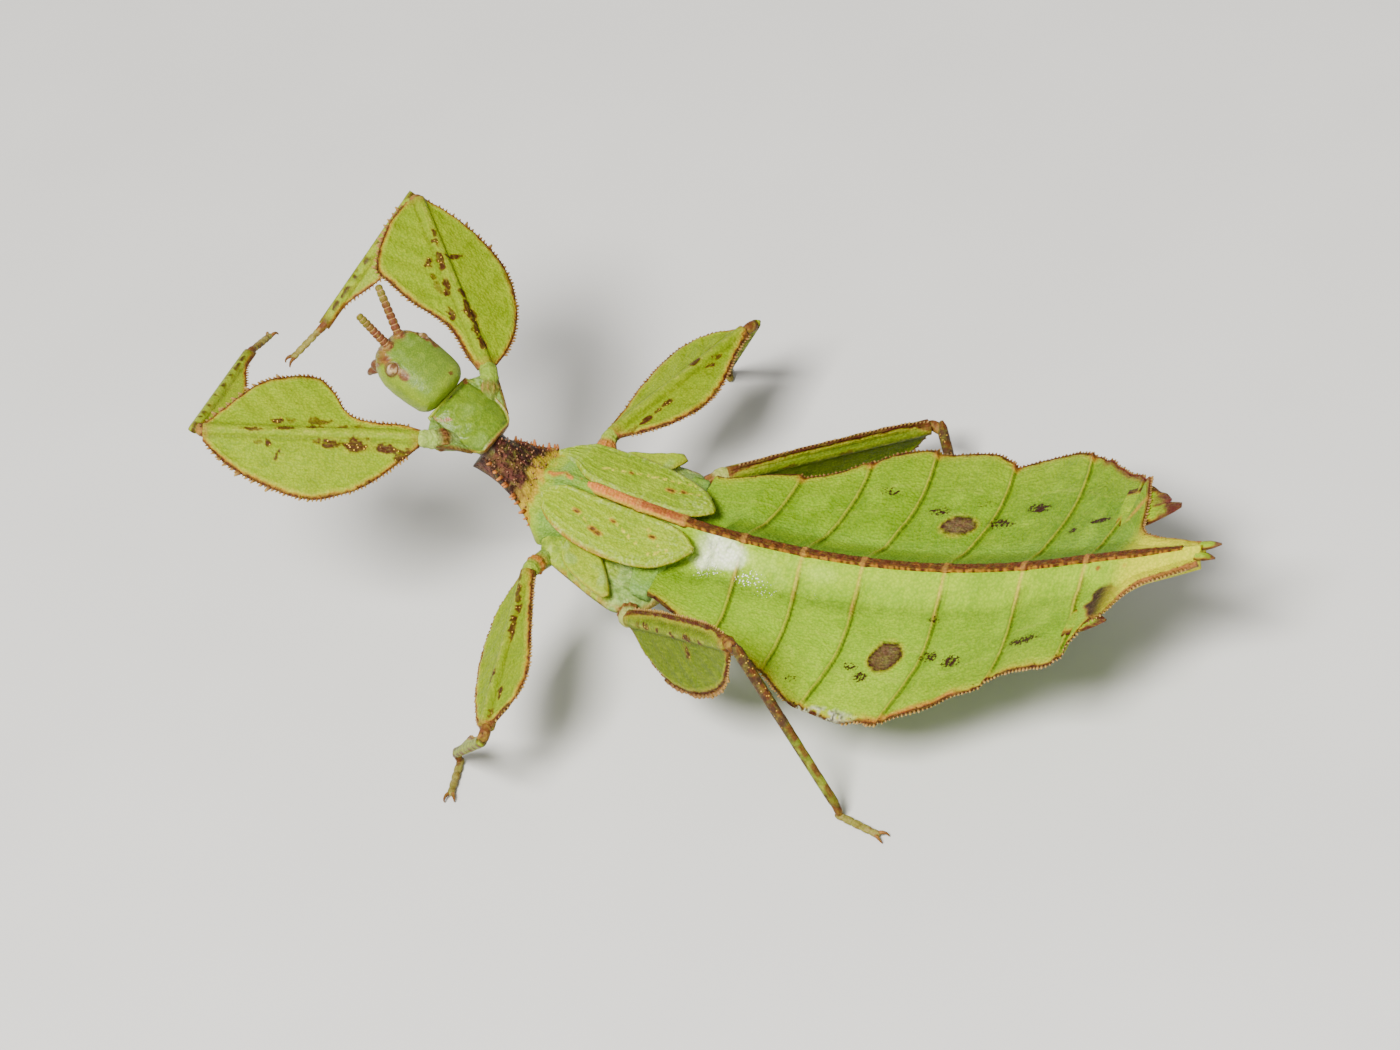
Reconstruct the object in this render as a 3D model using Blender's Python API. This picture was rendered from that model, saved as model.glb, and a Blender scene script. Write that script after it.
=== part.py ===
"""Leaf insect nymph, life size, standing with its fore legs held up.

The body is a leaf: a flat abdomen with a roof-like ridge, wing pads like two
small leaves, and thighs that are flattened into toothed blades. Everything is
worked out in millimetres along the body, +X towards the head, +Y the insect's
left, and is turned into metres when a mesh is made.
"""

import math
import random

import bmesh
import bpy
from mathutils import Matrix, Vector

MM = 0.001
GAP = 0.30                    # clearance between two neighbouring pieces
SEED = 7

# The back line, which every piece of the trunk hangs from
BACK_HEIGHT = 7.6             # lowest point of the ridge above the floor
BACK_CURVE = 0.0112           # rise of the ridge per square millimetre of distance
TAIL_BEND = -15.0             # behind this the ridge runs straight
TAIL_SLOPE = 0.29
CENTRE_X = 9.614              # middle of the whole insect, which becomes the origin
CENTRE_Y = -2.77

# Abdomen
ABDOMEN_FRONT = 12.9
ABDOMEN_REAR = -23.7
SEGMENT_LINES = (8.3, 4.2, 0.0, -5.8, -11.4, -15.9)
RIGHT_MARGIN = (              # station along the body, half width
    (12.9, 5.6), (11.9, 6.0), (10.2, 6.9), (8.6, 7.5), (8.1, 7.45), (6.4, 8.5), (4.6, 9.8),
    (4.1, 9.95), (2.9, 10.9), (0.9, 11.85), (0.15, 12.0), (-0.5, 11.75), (-2.6, 11.95),
    (-4.3, 11.9), (-5.4, 11.4), (-6.05, 10.95), (-6.9, 11.35), (-8.4, 11.75), (-10.1, 11.9),
    (-11.4, 11.55), (-11.9, 11.15), (-12.7, 10.8), (-13.9, 9.8), (-14.8, 9.0), (-15.5, 8.7),
    (-16.8, 8.2), (-17.2, 7.6), (-17.9, 5.4), (-18.4, 3.2), (-19.8, 2.15), (-21.3, 1.75),
    (-22.6, 1.15), (-23.7, 0.8),
)
LEFT_MARGIN = (
    (12.9, 5.8), (8.3, 7.7), (4.2, 9.2), (2.2, 10.6), (0.6, 11.6), (-0.8, 11.95), (-3.2, 12.45),
    (-4.2, 12.2), (-5.5, 12.5), (-6.4, 12.0), (-7.8, 11.2), (-8.5, 10.8), (-9.5, 9.8),
    (-11.1, 9.3), (-11.6, 8.6), (-13.5, 8.2), (-15.6, 8.1), (-16.3, 7.2), (-16.9, 6.4),
    (-17.4, 5.2), (-18.5, 4.2), (-19.1, 3.2), (-20.0, 2.3), (-21.1, 1.9), (-22.6, 1.4),
    (-23.7, 1.0),
)
TOOTH = 0.14                  # height of the teeth along a blade's margin
TOOTH_SHARE = 0.06            # and at most this share of a narrow blade's width
TOOTH_BEAT = 7.3              # a station times this is odd on a tooth and even on a gap
CORE_HALF = 2.6               # half width of the roof-like core
CORE_RISE = 1.30              # ridge above the flat blades
CORE_SHARES = (0.0, 0.13, 0.30, 0.62, 1.0)
BLADE_SHARES = (0.30, 0.62, 0.90, 1.0)
EDGE_RANK = 8                 # last column, counted from the ridge outwards
DROPS = (0.0, 0.12, 0.26, 0.62, 1.0, 1.12, 1.15, 1.12, 1.10)
SUNK = (0.0, 0.0, 1.30, 1.05, 0.55, 0.35, 0.15, 0.0, 0.0)
BELLY = (3.7, 3.66, 3.5, 3.0)
BLADE_SOLID = (1.05, 0.80, 0.70, 0.62, 0.55)
LINE_RISE = 0.15              # raised line at each segment border
LINE_HALF = 0.24
LINE_BOW = 0.56               # the lines bow tailwards by this
BOW_REACH = 9.0               # over this width of the blade
BOW_END = -16.5               # behind this the lines run straight
RIPPLE = 0.10                 # soft wave of the blades along the body
RIPPLE_BEAT = 0.9
PADS_END = 9.9                # ahead of this the abdomen sinks under the wing pads
TAPER_START = -9.0            # behind this the core gets thinner
TAPER_LENGTH = 15.0
TAPER_SHARE = 0.72
LOBE_WIDTH = 1.05             # half width of a tail lobe at its root
TAIL_LOBES = (                # root and tip of each lobe, along the body and to the left
    ((-16.4, -4.3), (-20.3, -5.3)),
    ((-16.4, 4.3), (-19.2, 4.85)),
)

# Hind part of the thorax, by rank from the midline out to the flank
HIND_Y = (0.0, 0.38, 0.42, 1.6, 2.5, 3.0)
HIND_TOP = (0.0, 0.12, 1.35, 1.55, 1.85, 2.35)
HIND_UNDER = (5.0, 4.95, 4.9, 4.6, 4.0, 3.3)
FLARE_Y = (0.0, 0.0, 0.0, 0.3, 1.2, 2.3)          # it widens where it meets the abdomen
FLARE_TOP = (0.0, 0.0, 0.0, 0.0, 0.1, 0.35)
FLARE_UNDER = (0.0, 0.0, 0.0, 0.4, 0.9, 0.6)
FLARE_START = 14.9
FLARE_LENGTH = 0.5
METATHORAX_STATIONS = (13.25, 14.4, 14.9, 16.2, 17.6)

# The collar between the wing pads and the prothorax
COLLAR_RAMP = 21.85           # in front of the wing pads the collar rises
COLLAR_LOW = 4.62
COLLAR_BEND = 22.1
COLLAR_SLOPE = 1.15
COLLAR_FRONT = 24.3
COLLAR_LEAN = 0.90
COLLAR_STEP = 0.5             # length of the ramp
COLLAR_HALF = ((17.9, 3.0), (20.2, 3.3), (21.4, 4.0), (22.6, 3.1), (24.3, 2.45))
COLLAR_WIDTHS = (0.0, 0.38, 0.42, 1.6, 2.6, 3.1)  # by rank, under the wing pads
COLLAR_ROOF = (0.0, 0.14, 0.30, 0.55, 0.85, 1.0)  # by rank, shares of the half width in front
COLLAR_LOW_DROP = (0.0, 0.12, 1.35, 1.50, 1.85, 2.4)
COLLAR_HIGH_DROP = (0.0, 0.05, 0.16, 0.36, 0.66, 0.98)
COLLAR_UNDER = (4.0, 3.95, 3.85, 3.5, 2.9, 2.3)
SIDE_SPINES = 6               # on each flank of the collar
ROOF_SPINES = 5               # on each slope of its roof

# Front of the body: the prothorax and the head share one turned frame
NECK = Vector((24.62, 0.0, 6.73))
NECK_TURN = math.radians(12.0)
NECK_PITCH = math.radians(36.0)
PRONOTUM = (0.62, 4.25)       # rear and front edge along the turned axis
PRONOTUM_TOP = 0.68
PRONOTUM_HALF = (1.30, 2.05)
PROTHORAX_DEPTH = 2.5
PRONOTUM_RIM = 0.16
PRONOTUM_DOME = 0.22
HEAD_CENTRE = (7.15, 0.0, 0.75)
HEAD_RADII = (2.58, 2.18, 1.62)
HEAD_FRONT_POWER = 0.76       # below 1 makes the egg boxier
HEAD_REAR_POWER = 0.46        # its rear is nearly square against the prothorax
HEAD_RING_POWER = 0.84
EYE_PLACE = (7.98, 1.66, 1.68)
EYE_RADIUS = 0.46
SOCKET_GAP = 0.24
ANTENNA_BASE = (9.45, 0.58, 1.88)
ANTENNA_REACH = {             # left one and right one: ahead, left, up
    1: (2.40, 0.33, 1.20),
    -1: (2.85, -1.17, 1.20),
}
ANTENNA_RADIUS = 0.27
ANTENNA_RINGS = 9

# Wing pads
PAD_START = 21.3              # the fore pads' roots
PAD_LENGTH = 10.1
PAD_INNER = ((0.0, 1.10), (0.15, 0.80), (0.85, 0.86), (0.95, 1.15), (1.0, 1.75))
PAD_OUTER = (
    (0.0, 1.9), (0.07, 3.0), (0.22, 4.0), (0.42, 4.6), (0.62, 4.65), (0.80, 4.2), (0.94, 3.2), (1.0, 2.3))
PAD_TOP = 4.45                # the pads' roots lie flat at this height
PAD_DROP = 0.26               # and this far below the ridge
PAD_COLUMNS = (0.0, 0.12, 0.30, 0.42, 0.62, 0.82, 1.0)
PAD_VEINS = (0.12, 0.42)      # columns that are raised as veins
PAD_VEIN_RISE = 0.12
PAD_DOME = 0.16
PAD_SOLID = 0.42
HIND_PAD_START = 19.3
HIND_PAD_LENGTH = 4.0
HIND_PAD_INNER = 3.1
HIND_PAD_OUTER = ((0.0, 4.1), (0.25, 5.0), (0.6, 5.9), (0.88, 6.7), (1.0, 6.4))
HIND_PAD_DROP = 1.85
HIND_PAD_SOLID = 0.55

# Legs: the points are where the limb bends, before the gaps are taken off
BLADE_HALF = 0.27             # half thickness of a thigh's blade
BLADE_SAG = 0.020             # its edges curve down by this, times the square of the width
SHAFT_HALF = 0.40             # half width of a thigh's midrib
# A thigh starts so far from its root point and stops so far before its knee point,
# and a shin's middle starts so far beyond that point
THIGH_START = {"fore": 0.65, "mid": 0.42, "hind": 0.45}
THIGH_SHORT = {"fore": 1.05, "mid": 1.05, "hind": 0.65}
SHIN_BEYOND = {"fore": 0.25, "mid": 0.15, "hind": 0.25}
SHIN_STATIONS = 13
SHIN_TOOTH = 0.08
FOOT_JOINTS = 4
FOOT_HALF = 0.25              # half height of a foot, which rests on the floor
LEG_NAMES = ("fore_left", "fore_right", "mid_left", "mid_right", "hind_left", "hind_right")
COXAE = {
    "fore_left": Vector((27.75, 1.80, 7.95)),
    "fore_right": Vector((26.75, -3.00, 7.95)),
    "mid_left": Vector((20.60, 4.30, 1.20)),
    "mid_right": Vector((20.60, -4.30, 1.20)),
    "hind_left": Vector((14.90, 4.90, -1.75)),
    "hind_right": Vector((14.70, -4.90, -1.75)),
}
THIGH_ROOTS = {
    "fore_left": Vector((27.75, 2.71, 9.13)),
    "fore_right": Vector((26.38, -3.75, 9.13)),
    "mid_left": Vector((20.70, 6.30, 2.00)),
    "mid_right": Vector((20.70, -6.30, 2.00)),
    "hind_left": Vector((13.80, 7.20, -0.40)),
    "hind_right": Vector((13.40, -6.90, -1.00)),
}
KNEES = {
    "fore_left": Vector((41.06, 8.00, 12.86)),
    "fore_right": Vector((35.43, -14.24, 14.32)),
    "mid_left": Vector((18.24, 19.47, 0.32)),
    "mid_right": Vector((15.75, -18.84, 1.33)),
    "hind_left": Vector((2.40, 12.95, 4.90)),
    "hind_right": Vector((2.45, -16.40, -3.70)),
}
ANKLES = {
    "fore_left": Vector((43.20, -1.98, 10.50)),
    "fore_right": Vector((39.90, -5.97, 9.64)),
    "mid_left": Vector((24.40, 15.15, -6.50)),
    "mid_right": Vector((21.40, -22.30, -6.50)),
    "hind_left": Vector((-2.70, 14.90, -6.50)),
    "hind_right": Vector((-3.90, -6.40, -6.50)),
}
TOES = {
    "fore_left": Vector((43.60, -4.90, 9.30)),
    "fore_right": Vector((41.60, -3.70, 8.50)),
    "mid_left": Vector((23.70, 18.10, -7.30)),
    "mid_right": Vector((22.90, -24.90, -7.30)),
    "hind_left": Vector((-5.95, 16.00, -7.30)),
    "hind_right": Vector((-7.10, -7.60, -7.30)),
}
BLADE_UP = {                  # roughly where the flat side of each thigh looks
    "fore_left": Vector((-0.343, 0.218, 0.914)),
    "fore_right": Vector((-0.480, 0.020, 0.877)),
    "mid_left": Vector((0.456, 0.196, 0.868)),
    "mid_right": Vector((0.0, 0.0, 1.0)),
    "hind_left": Vector((0.585, 0.767, 0.266)),
    "hind_right": Vector((0.585, -0.767, 0.266)),
}
# Outlines of the thighs: share of the length, half width in millimetres. The left middle
# leg is turned over in its hip, so that its margins change sides
THIGH_AHEAD = {
    "fore": (
        (0.0, 0.45), (0.10, 0.70), (0.26, 1.0), (0.38, 2.3), (0.48, 3.7), (0.60, 4.5), (0.72, 4.1),
        (0.88, 2.3), (1.0, 0.52)),
    "mid_left": ((0.0, 0.60), (0.07, 1.5), (0.20, 2.4), (0.42, 2.85), (0.64, 2.5), (0.90, 1.3), (1.0, 0.52)),
    "mid_right": ((0.0, 0.55), (0.16, 1.1), (0.40, 2.15), (0.65, 2.8), (0.86, 2.2), (1.0, 0.52)),
    "hind": ((0.0, 0.60), (0.15, 0.80), (0.40, 0.98), (0.85, 0.95), (1.0, 0.52)),
}
THIGH_BEHIND = {
    "fore": (
        (0.0, 0.45), (0.05, 0.80), (0.12, 1.9), (0.20, 3.0), (0.32, 4.2), (0.48, 4.6), (0.65, 4.2),
        (0.85, 2.4), (1.0, 0.52)),
    "mid_left": ((0.0, 0.55), (0.22, 1.2), (0.57, 2.3), (0.73, 2.6), (0.86, 2.2), (0.96, 1.1), (1.0, 0.52)),
    "mid_right": ((0.0, 0.60), (0.12, 1.7), (0.28, 2.7), (0.44, 3.1), (0.62, 2.6), (0.88, 1.0), (1.0, 0.52)),
    "hind": (
        (0.0, 0.60), (0.08, 2.2), (0.20, 3.5), (0.40, 4.2), (0.64, 4.0), (0.84, 3.0), (0.95, 1.6),
        (1.0, 0.52)),
}
SHIN_LOBE = {                 # half width of the small blade along the inner side
    "fore": (
        (0.0, 0.42), (0.12, 0.55), (0.24, 1.15), (0.40, 1.75), (0.62, 1.2), (0.80, 0.50), (1.0, 0.42)),
    "mid": ((0.0, 0.45), (0.50, 0.55), (0.80, 0.95), (1.0, 0.45)),
    "hind": ((0.0, 0.45), (0.50, 0.42), (1.0, 0.42)),
}
THIGH_STATIONS = {"fore": 23, "mid": 19, "hind": 19}

# Colours, linear
GREEN = (0.30, 0.47, 0.045, 1.0)
HEAD_GREEN = (0.17, 0.33, 0.055, 1.0)
BROWN = (0.085, 0.022, 0.016, 1.0)
ANTENNA_BROWN = (0.28, 0.13, 0.05, 1.0)
SHIN_OLIVE = (0.20, 0.17, 0.035, 1.0)
EYE_PINK = (0.62, 0.42, 0.33, 1.0)


def clear_scene():
    """Start from an empty scene."""
    for old in list(bpy.data.objects):
        bpy.data.objects.remove(old, do_unlink=True)


def make_material(name, colour, roughness):
    """A plain painted surface."""
    material = bpy.data.materials.new(name)
    material.use_nodes = True
    shader = material.node_tree.nodes["Principled BSDF"]
    shader.inputs["Base Color"].default_value = colour
    shader.inputs["Roughness"].default_value = roughness
    shader.inputs["Metallic"].default_value = 0.0
    return material


def back(x):
    """Height of the ridge over the mid abdomen's ridge."""
    if x >= TAIL_BEND:
        return BACK_CURVE * x * x
    return BACK_CURVE * TAIL_BEND * TAIL_BEND + TAIL_SLOPE * (TAIL_BEND - x)


def place(point):
    """Body millimetres to the part's own metres."""
    return Vector((point[0] - CENTRE_X, point[1] - CENTRE_Y, point[2] + BACK_HEIGHT)) * MM


def smooth_table(table, t):
    """Read a short table of (place, value) with an ease between its rows."""
    rising = table[0][0] < table[-1][0]
    rows = table if rising else tuple(reversed(table))
    if t <= rows[0][0]:
        return rows[0][1:]
    if t >= rows[-1][0]:
        return rows[-1][1:]
    k = 0
    while rows[k + 1][0] < t:
        k += 1
    before = rows[max(k - 1, 0)]
    start = rows[k]
    end = rows[k + 1]
    after = rows[min(k + 2, len(rows) - 1)]
    span = end[0] - start[0]
    s = (t - start[0]) / span
    values = []
    for c in range(1, len(start)):
        slope_a = (end[c] - before[c]) / max(end[0] - before[0], 1e-6) * span
        slope_b = (after[c] - start[c]) / max(after[0] - start[0], 1e-6) * span
        h00 = 2 * s ** 3 - 3 * s ** 2 + 1
        h10 = s ** 3 - 2 * s ** 2 + s
        h01 = -2 * s ** 3 + 3 * s ** 2
        h11 = s ** 3 - s ** 2
        values.append(h00 * start[c] + h10 * slope_a + h01 * end[c] + h11 * slope_b)
    return tuple(values)


def turned(forward, left, up):
    """A point of the head and prothorax frame, in body millimetres."""
    ahead = Vector((math.cos(NECK_TURN), -math.sin(NECK_TURN), 0.0))
    side = Vector((math.sin(NECK_TURN), math.cos(NECK_TURN), 0.0))
    axis = ahead * math.cos(NECK_PITCH) + Vector((0, 0, 1)) * math.sin(NECK_PITCH)
    rise = Vector((0, 0, 1)) * math.cos(NECK_PITCH) - ahead * math.sin(NECK_PITCH)
    return NECK + axis * forward + side * left + rise * up


def add_object(name, bm, material=None):
    """Hand a finished bmesh, in metres, to the scene."""
    bmesh.ops.recalc_face_normals(bm, faces=bm.faces)
    mesh = bpy.data.meshes.new(name)
    bm.to_mesh(mesh)
    bm.free()
    if material:
        mesh.materials.append(material)
    piece = bpy.data.objects.new(name, mesh)
    insect.objects.link(piece)
    return piece


def plate(name, stations, columns, top, bottom, material=None):
    """A closed plate from a grid; both faces have the same triangles."""
    bm = bmesh.new()
    rows = len(stations) - 1
    ranks = len(columns) - 1
    bmesh.ops.create_grid(bm, x_segments=rows, y_segments=ranks, size=1.0)
    row_of = bm.verts.layers.int.new("row")
    rank_of = bm.verts.layers.int.new("rank")
    for vert in bm.verts:
        vert[row_of] = round((vert.co.x + 1.0) / 2.0 * rows)
        vert[rank_of] = round((vert.co.y + 1.0) / 2.0 * ranks)
    bmesh.ops.triangulate(bm, faces=bm.faces[:], quad_method="FIXED")
    lower = bm.verts[:]
    lower_faces = bm.faces[:]
    copy = bmesh.ops.duplicate(bm, geom=bm.verts[:] + bm.edges[:] + bm.faces[:])
    upper = [item for item in copy["geom"] if isinstance(item, bmesh.types.BMVert)]
    for vert in upper:
        vert.co = place(top(stations[vert[row_of]], columns[vert[rank_of]]))
    for vert in lower:
        vert.co = place(bottom(stations[vert[row_of]], columns[vert[rank_of]]))
    bmesh.ops.reverse_faces(bm, faces=lower_faces)
    rim = [edge for edge in bm.edges if edge.is_boundary]
    bmesh.ops.bridge_loops(bm, edges=rim)
    bmesh.ops.triangulate(bm, faces=[face for face in bm.faces if len(face.verts) > 3])
    return add_object(name, bm, material)


def tube(name, points, radii, material=None, resolution=2):
    """A round limb along a few points, as a closed mesh."""
    curve = bpy.data.curves.new(name + "_path", "CURVE")
    curve.dimensions = "3D"
    curve.bevel_depth = MM
    curve.bevel_resolution = resolution
    curve.use_fill_caps = True
    spline = curve.splines.new("POLY")
    spline.points.add(len(points) - 1)
    for spot, point, radius in zip(spline.points, points, radii):
        spot.co = (*place(point), 1.0)
        spot.radius = radius
    guide = bpy.data.objects.new(name + "_path", curve)
    insect.objects.link(guide)
    bpy.context.view_layer.update()
    seen = guide.evaluated_get(bpy.context.evaluated_depsgraph_get())
    mesh = bpy.data.meshes.new_from_object(seen)
    bpy.data.objects.remove(guide, do_unlink=True)
    bm = bmesh.new()
    bm.from_mesh(mesh)
    bpy.data.meshes.remove(mesh)
    bmesh.ops.remove_doubles(bm, verts=bm.verts, dist=1e-6)
    bmesh.ops.triangulate(bm, faces=bm.faces[:])
    return add_object(name, bm, material)


def ball(name, shape, segments, rings, material=None):
    """A sphere whose unit points are sent through a shape function."""
    bm = bmesh.new()
    bmesh.ops.create_uvsphere(bm, u_segments=segments, v_segments=rings, radius=1.0)
    for vert in bm.verts:
        vert.co = place(shape(vert.co.copy()))
    return add_object(name, bm, material)


def spine(name, base, direction, length, radius, sides=4):
    """A short tapered spike with its root at the base point."""
    bm = bmesh.new()
    bmesh.ops.create_cone(
        bm, cap_ends=True, segments=sides, radius1=radius * MM, radius2=radius * 0.18 * MM, depth=length * MM)
    turn = direction.normalized().to_track_quat("Z", "Y").to_matrix().to_4x4()
    middle = place(base + direction.normalized() * (length / 2.0))
    bmesh.ops.transform(bm, matrix=Matrix.Translation(middle) @ turn, verts=bm.verts)
    return add_object(name, bm)


def largest_surface(piece):
    """Keep only the closed surface that encloses most."""
    bm = bmesh.new()
    bm.from_mesh(piece.data)
    bmesh.ops.triangulate(bm, faces=bm.faces[:])
    left = set(bm.faces)
    groups = []
    while left:
        queue = [left.pop()]
        group = [queue[0]]
        while queue:
            for edge in queue.pop().edges:
                for face in edge.link_faces:
                    if face in left:
                        left.remove(face)
                        queue.append(face)
                        group.append(face)
        groups.append(group)

    def enclosed(group):
        total = 0.0
        for face in group:
            a, b, c = (vert.co for vert in face.verts)
            total += a.dot(b.cross(c)) / 6.0
        return abs(total)

    groups.sort(key=enclosed, reverse=True)
    for group in groups[1:]:
        bmesh.ops.delete(bm, geom=group, context="FACES")
    bm.to_mesh(piece.data)
    bm.free()


def fuse(base, extras, operation="UNION", solver="EXACT"):
    """One Boolean on a collection joins or cuts the extra pieces."""
    group = bpy.data.collections.new(base.name + "_extras")
    bpy.context.scene.collection.children.link(group)
    for extra in extras:
        insect.objects.unlink(extra)
        group.objects.link(extra)
    step = base.modifiers.new("Join", "BOOLEAN")
    step.operation = operation
    step.operand_type = "COLLECTION"
    step.collection = group
    step.solver = solver
    bpy.context.view_layer.update()
    seen = base.evaluated_get(bpy.context.evaluated_depsgraph_get())
    mesh = bpy.data.meshes.new_from_object(seen)
    base.modifiers.clear()
    material = base.data.materials[0] if base.data.materials else None
    base.data = mesh
    mesh.materials.clear()
    if material:
        mesh.materials.append(material)
    for extra in extras:
        bpy.data.objects.remove(extra, do_unlink=True)
    bpy.data.collections.remove(group)
    largest_surface(base)
    return base


def abdomen_stations():
    """Places along the abdomen: close beside each segment line, evenly between."""
    borders = (ABDOMEN_FRONT,) + SEGMENT_LINES + (ABDOMEN_REAR,)
    stations = []
    for k in range(len(borders) - 1):
        start = borders[k] - (LINE_HALF if k else 0.0)
        end = borders[k + 1] + (LINE_HALF if k + 2 < len(borders) else 0.0)
        steps = max(2, 2 * round((start - end) / 1.5))
        for n in range(steps + 1):
            stations.append(start + (end - start) * n / steps)
        if k + 2 < len(borders):
            stations.append(borders[k + 1])
    return stations


def on_line(x):
    """1 on a segment's raised line, 0 away from it."""
    return 1.0 if min(abs(x - line) for line in SEGMENT_LINES) < 0.01 else 0.0


def half_width(x, side):
    """Half width of the abdomen, side -1 right and +1 left; the tables hold its scallops."""
    return smooth_table(LEFT_MARGIN if side > 0 else RIGHT_MARGIN, x)[0]


def tail_taper(x):
    """The core thins out towards the tip of the tail."""
    return min(1.0, max(1.0 - TAPER_SHARE, 1.0 - (TAPER_START - x) / TAPER_LENGTH * TAPER_SHARE))


def under_pads(x):
    """1 in front, where the wing pads lie on the abdomen, and 0 behind their tips."""
    return min(1.0, max(0.0, x - PADS_END))


def abdomen_point(x, column, under):
    """A point of the abdomen's upper or under face."""
    side, rank = column
    place_out = half_width(x, side)
    core = min(CORE_HALF * (0.45 + 0.55 * tail_taper(x)), place_out * 0.55)
    if rank <= 4:
        y = core * CORE_SHARES[rank]
    else:
        y = core + (place_out - core) * BLADE_SHARES[rank - 5]
        if rank == EDGE_RANK:
            tooth = min(TOOTH, TOOTH_SHARE * (place_out - core))
            y += tooth * (1 if round(x * TOOTH_BEAT) % 2 else -1)
    taper = tail_taper(x)
    drop = CORE_RISE * taper * DROPS[rank] + SUNK[rank] * under_pads(x)
    ripple = RIPPLE * math.sin(x * RIPPLE_BEAT + side) * (rank / EDGE_RANK) ** 2
    rise = on_line(x) * LINE_RISE * (0.5 if rank < 4 else 1.0)
    z = back(x) - drop + ripple + (rise if rank < EDGE_RANK else 0.0)
    if under:
        if rank <= 3:
            z = back(x) - BELLY[rank] * taper
        else:
            z = back(x) - drop + ripple - BLADE_SOLID[rank - 4]
    far = max(0.0, abs(y) - CORE_HALF)
    bow = LINE_BOW * math.sin(math.pi * min(1.0, far / BOW_REACH)) * (1.0 if x > BOW_END else 0.0)
    return Vector((x - bow, side * y, z))


def make_abdomen():
    """The leaf-shaped abdomen with its scalloped, toothed margin and tail lobes."""
    columns = [(-1, rank) for rank in range(EDGE_RANK, 0, -1)]
    columns += [(1, rank) for rank in range(EDGE_RANK + 1)]
    body = plate(
        "abdomen", abdomen_stations(), columns,
        lambda x, column: abdomen_point(x, column, False),
        lambda x, column: abdomen_point(x, column, True), greens)
    lobes = []
    for root, tip in TAIL_LOBES:
        lobes.append(tail_lobe("lobe", Vector((*root, 0.0)), Vector((*tip, 0.0))))
    return fuse(body, lobes)


def tail_lobe(name, root, tip):
    """A small pointed lobe behind the widest segments."""
    along = tip - root
    across = Vector((-along.y, along.x, 0.0)).normalized()

    def point(t, v, lift):
        width = LOBE_WIDTH * (1.0 - t) ** 0.6 + 0.16
        spot = root + along * t + across * (width * v)
        return Vector((spot.x, spot.y, back(spot.x) - CORE_RISE * tail_taper(spot.x) + lift - 0.02))

    stations = (0.0, 0.3, 0.6, 0.85, 1.0)
    columns = (-1.0, -0.35, 0.35, 1.0)
    return plate(name, stations, columns, lambda t, v: point(t, v, -0.10), lambda t, v: point(t, v, -0.62))


def trunk(name, stations, profile, material, ranks):
    """A trunk piece: rings whose half outline is given by a profile function."""
    columns = [(-1, rank) for rank in range(ranks - 1, 0, -1)] + [(1, rank) for rank in range(0, ranks)]
    return plate(
        name, stations, columns,
        lambda x, column: profile(x, column[0], column[1], False),
        lambda x, column: profile(x, column[0], column[1], True), material)


def metathorax_point(x, side, rank, under):
    """The hind part of the thorax; its crest runs between the wing pads."""
    flare = min(1.0, max(0.0, (FLARE_START - x) / FLARE_LENGTH))
    y = HIND_Y[rank] + FLARE_Y[rank] * flare
    if under:
        drop = HIND_UNDER[rank] - FLARE_UNDER[rank] * flare
    else:
        drop = HIND_TOP[rank] - FLARE_TOP[rank] * flare
    return Vector((x, side * y, back(x) - drop))


def mesothorax_point(x, side, rank, under):
    """The collar: a roof in front, and low under the wing pads behind."""
    front = min(1.0, max(0.0, (x - COLLAR_RAMP) / COLLAR_STEP))
    half = smooth_table(COLLAR_HALF, x)[0]
    crest = COLLAR_WIDTHS[rank] * half / COLLAR_WIDTHS[-1]
    y = COLLAR_ROOF[rank] * half * front + crest * (1.0 - front)
    if x < COLLAR_BEND:
        line = min(back(x), COLLAR_LOW)
    else:
        line = COLLAR_LOW + (x - COLLAR_BEND) * COLLAR_SLOPE
    drop = COLLAR_HIGH_DROP[rank] * front + COLLAR_LOW_DROP[rank] * (1.0 - front)
    if under:
        drop = COLLAR_UNDER[rank] - 1.1 * front + (1.0 - front) * 0.7
    lean = COLLAR_LEAN * drop * max(0.0, (x - COLLAR_BEND) / (COLLAR_FRONT - COLLAR_BEND))
    return Vector((x + lean, side * y, line - drop))


def make_mesothorax():
    """The brown collar with its tubercles and spines."""
    ramp = (COLLAR_RAMP, COLLAR_RAMP + COLLAR_STEP)
    stations = (17.95, 19.0, 20.2, 21.2) + ramp + (22.85, 23.5, COLLAR_FRONT)
    body = trunk("mesothorax", stations, mesothorax_point, browns, len(COLLAR_WIDTHS))
    chance = random.Random(SEED)
    spikes = []
    for side in (-1, 1):
        for n in range(SIDE_SPINES):
            x = 21.6 + 0.46 * n
            base = mesothorax_point(x, side, 5, False) + Vector((0.0, -side * 0.30, -0.30))
            aim = Vector((0.25, side * 1.0, 0.35))
            spikes.append(spine("spike", base, aim, 0.90 + chance.uniform(-0.08, 0.12), 0.25))
        for n in range(ROOF_SPINES):
            x = 22.25 + 0.40 * n
            base = mesothorax_point(x, side, 3, False) + Vector((0.10, 0.0, -0.28))
            aim = Vector((-0.35, side * 0.30, 1.0))
            spikes.append(spine("spike", base, aim, 0.66 + chance.uniform(-0.06, 0.08), 0.23))
    return fuse(body, spikes)


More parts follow.
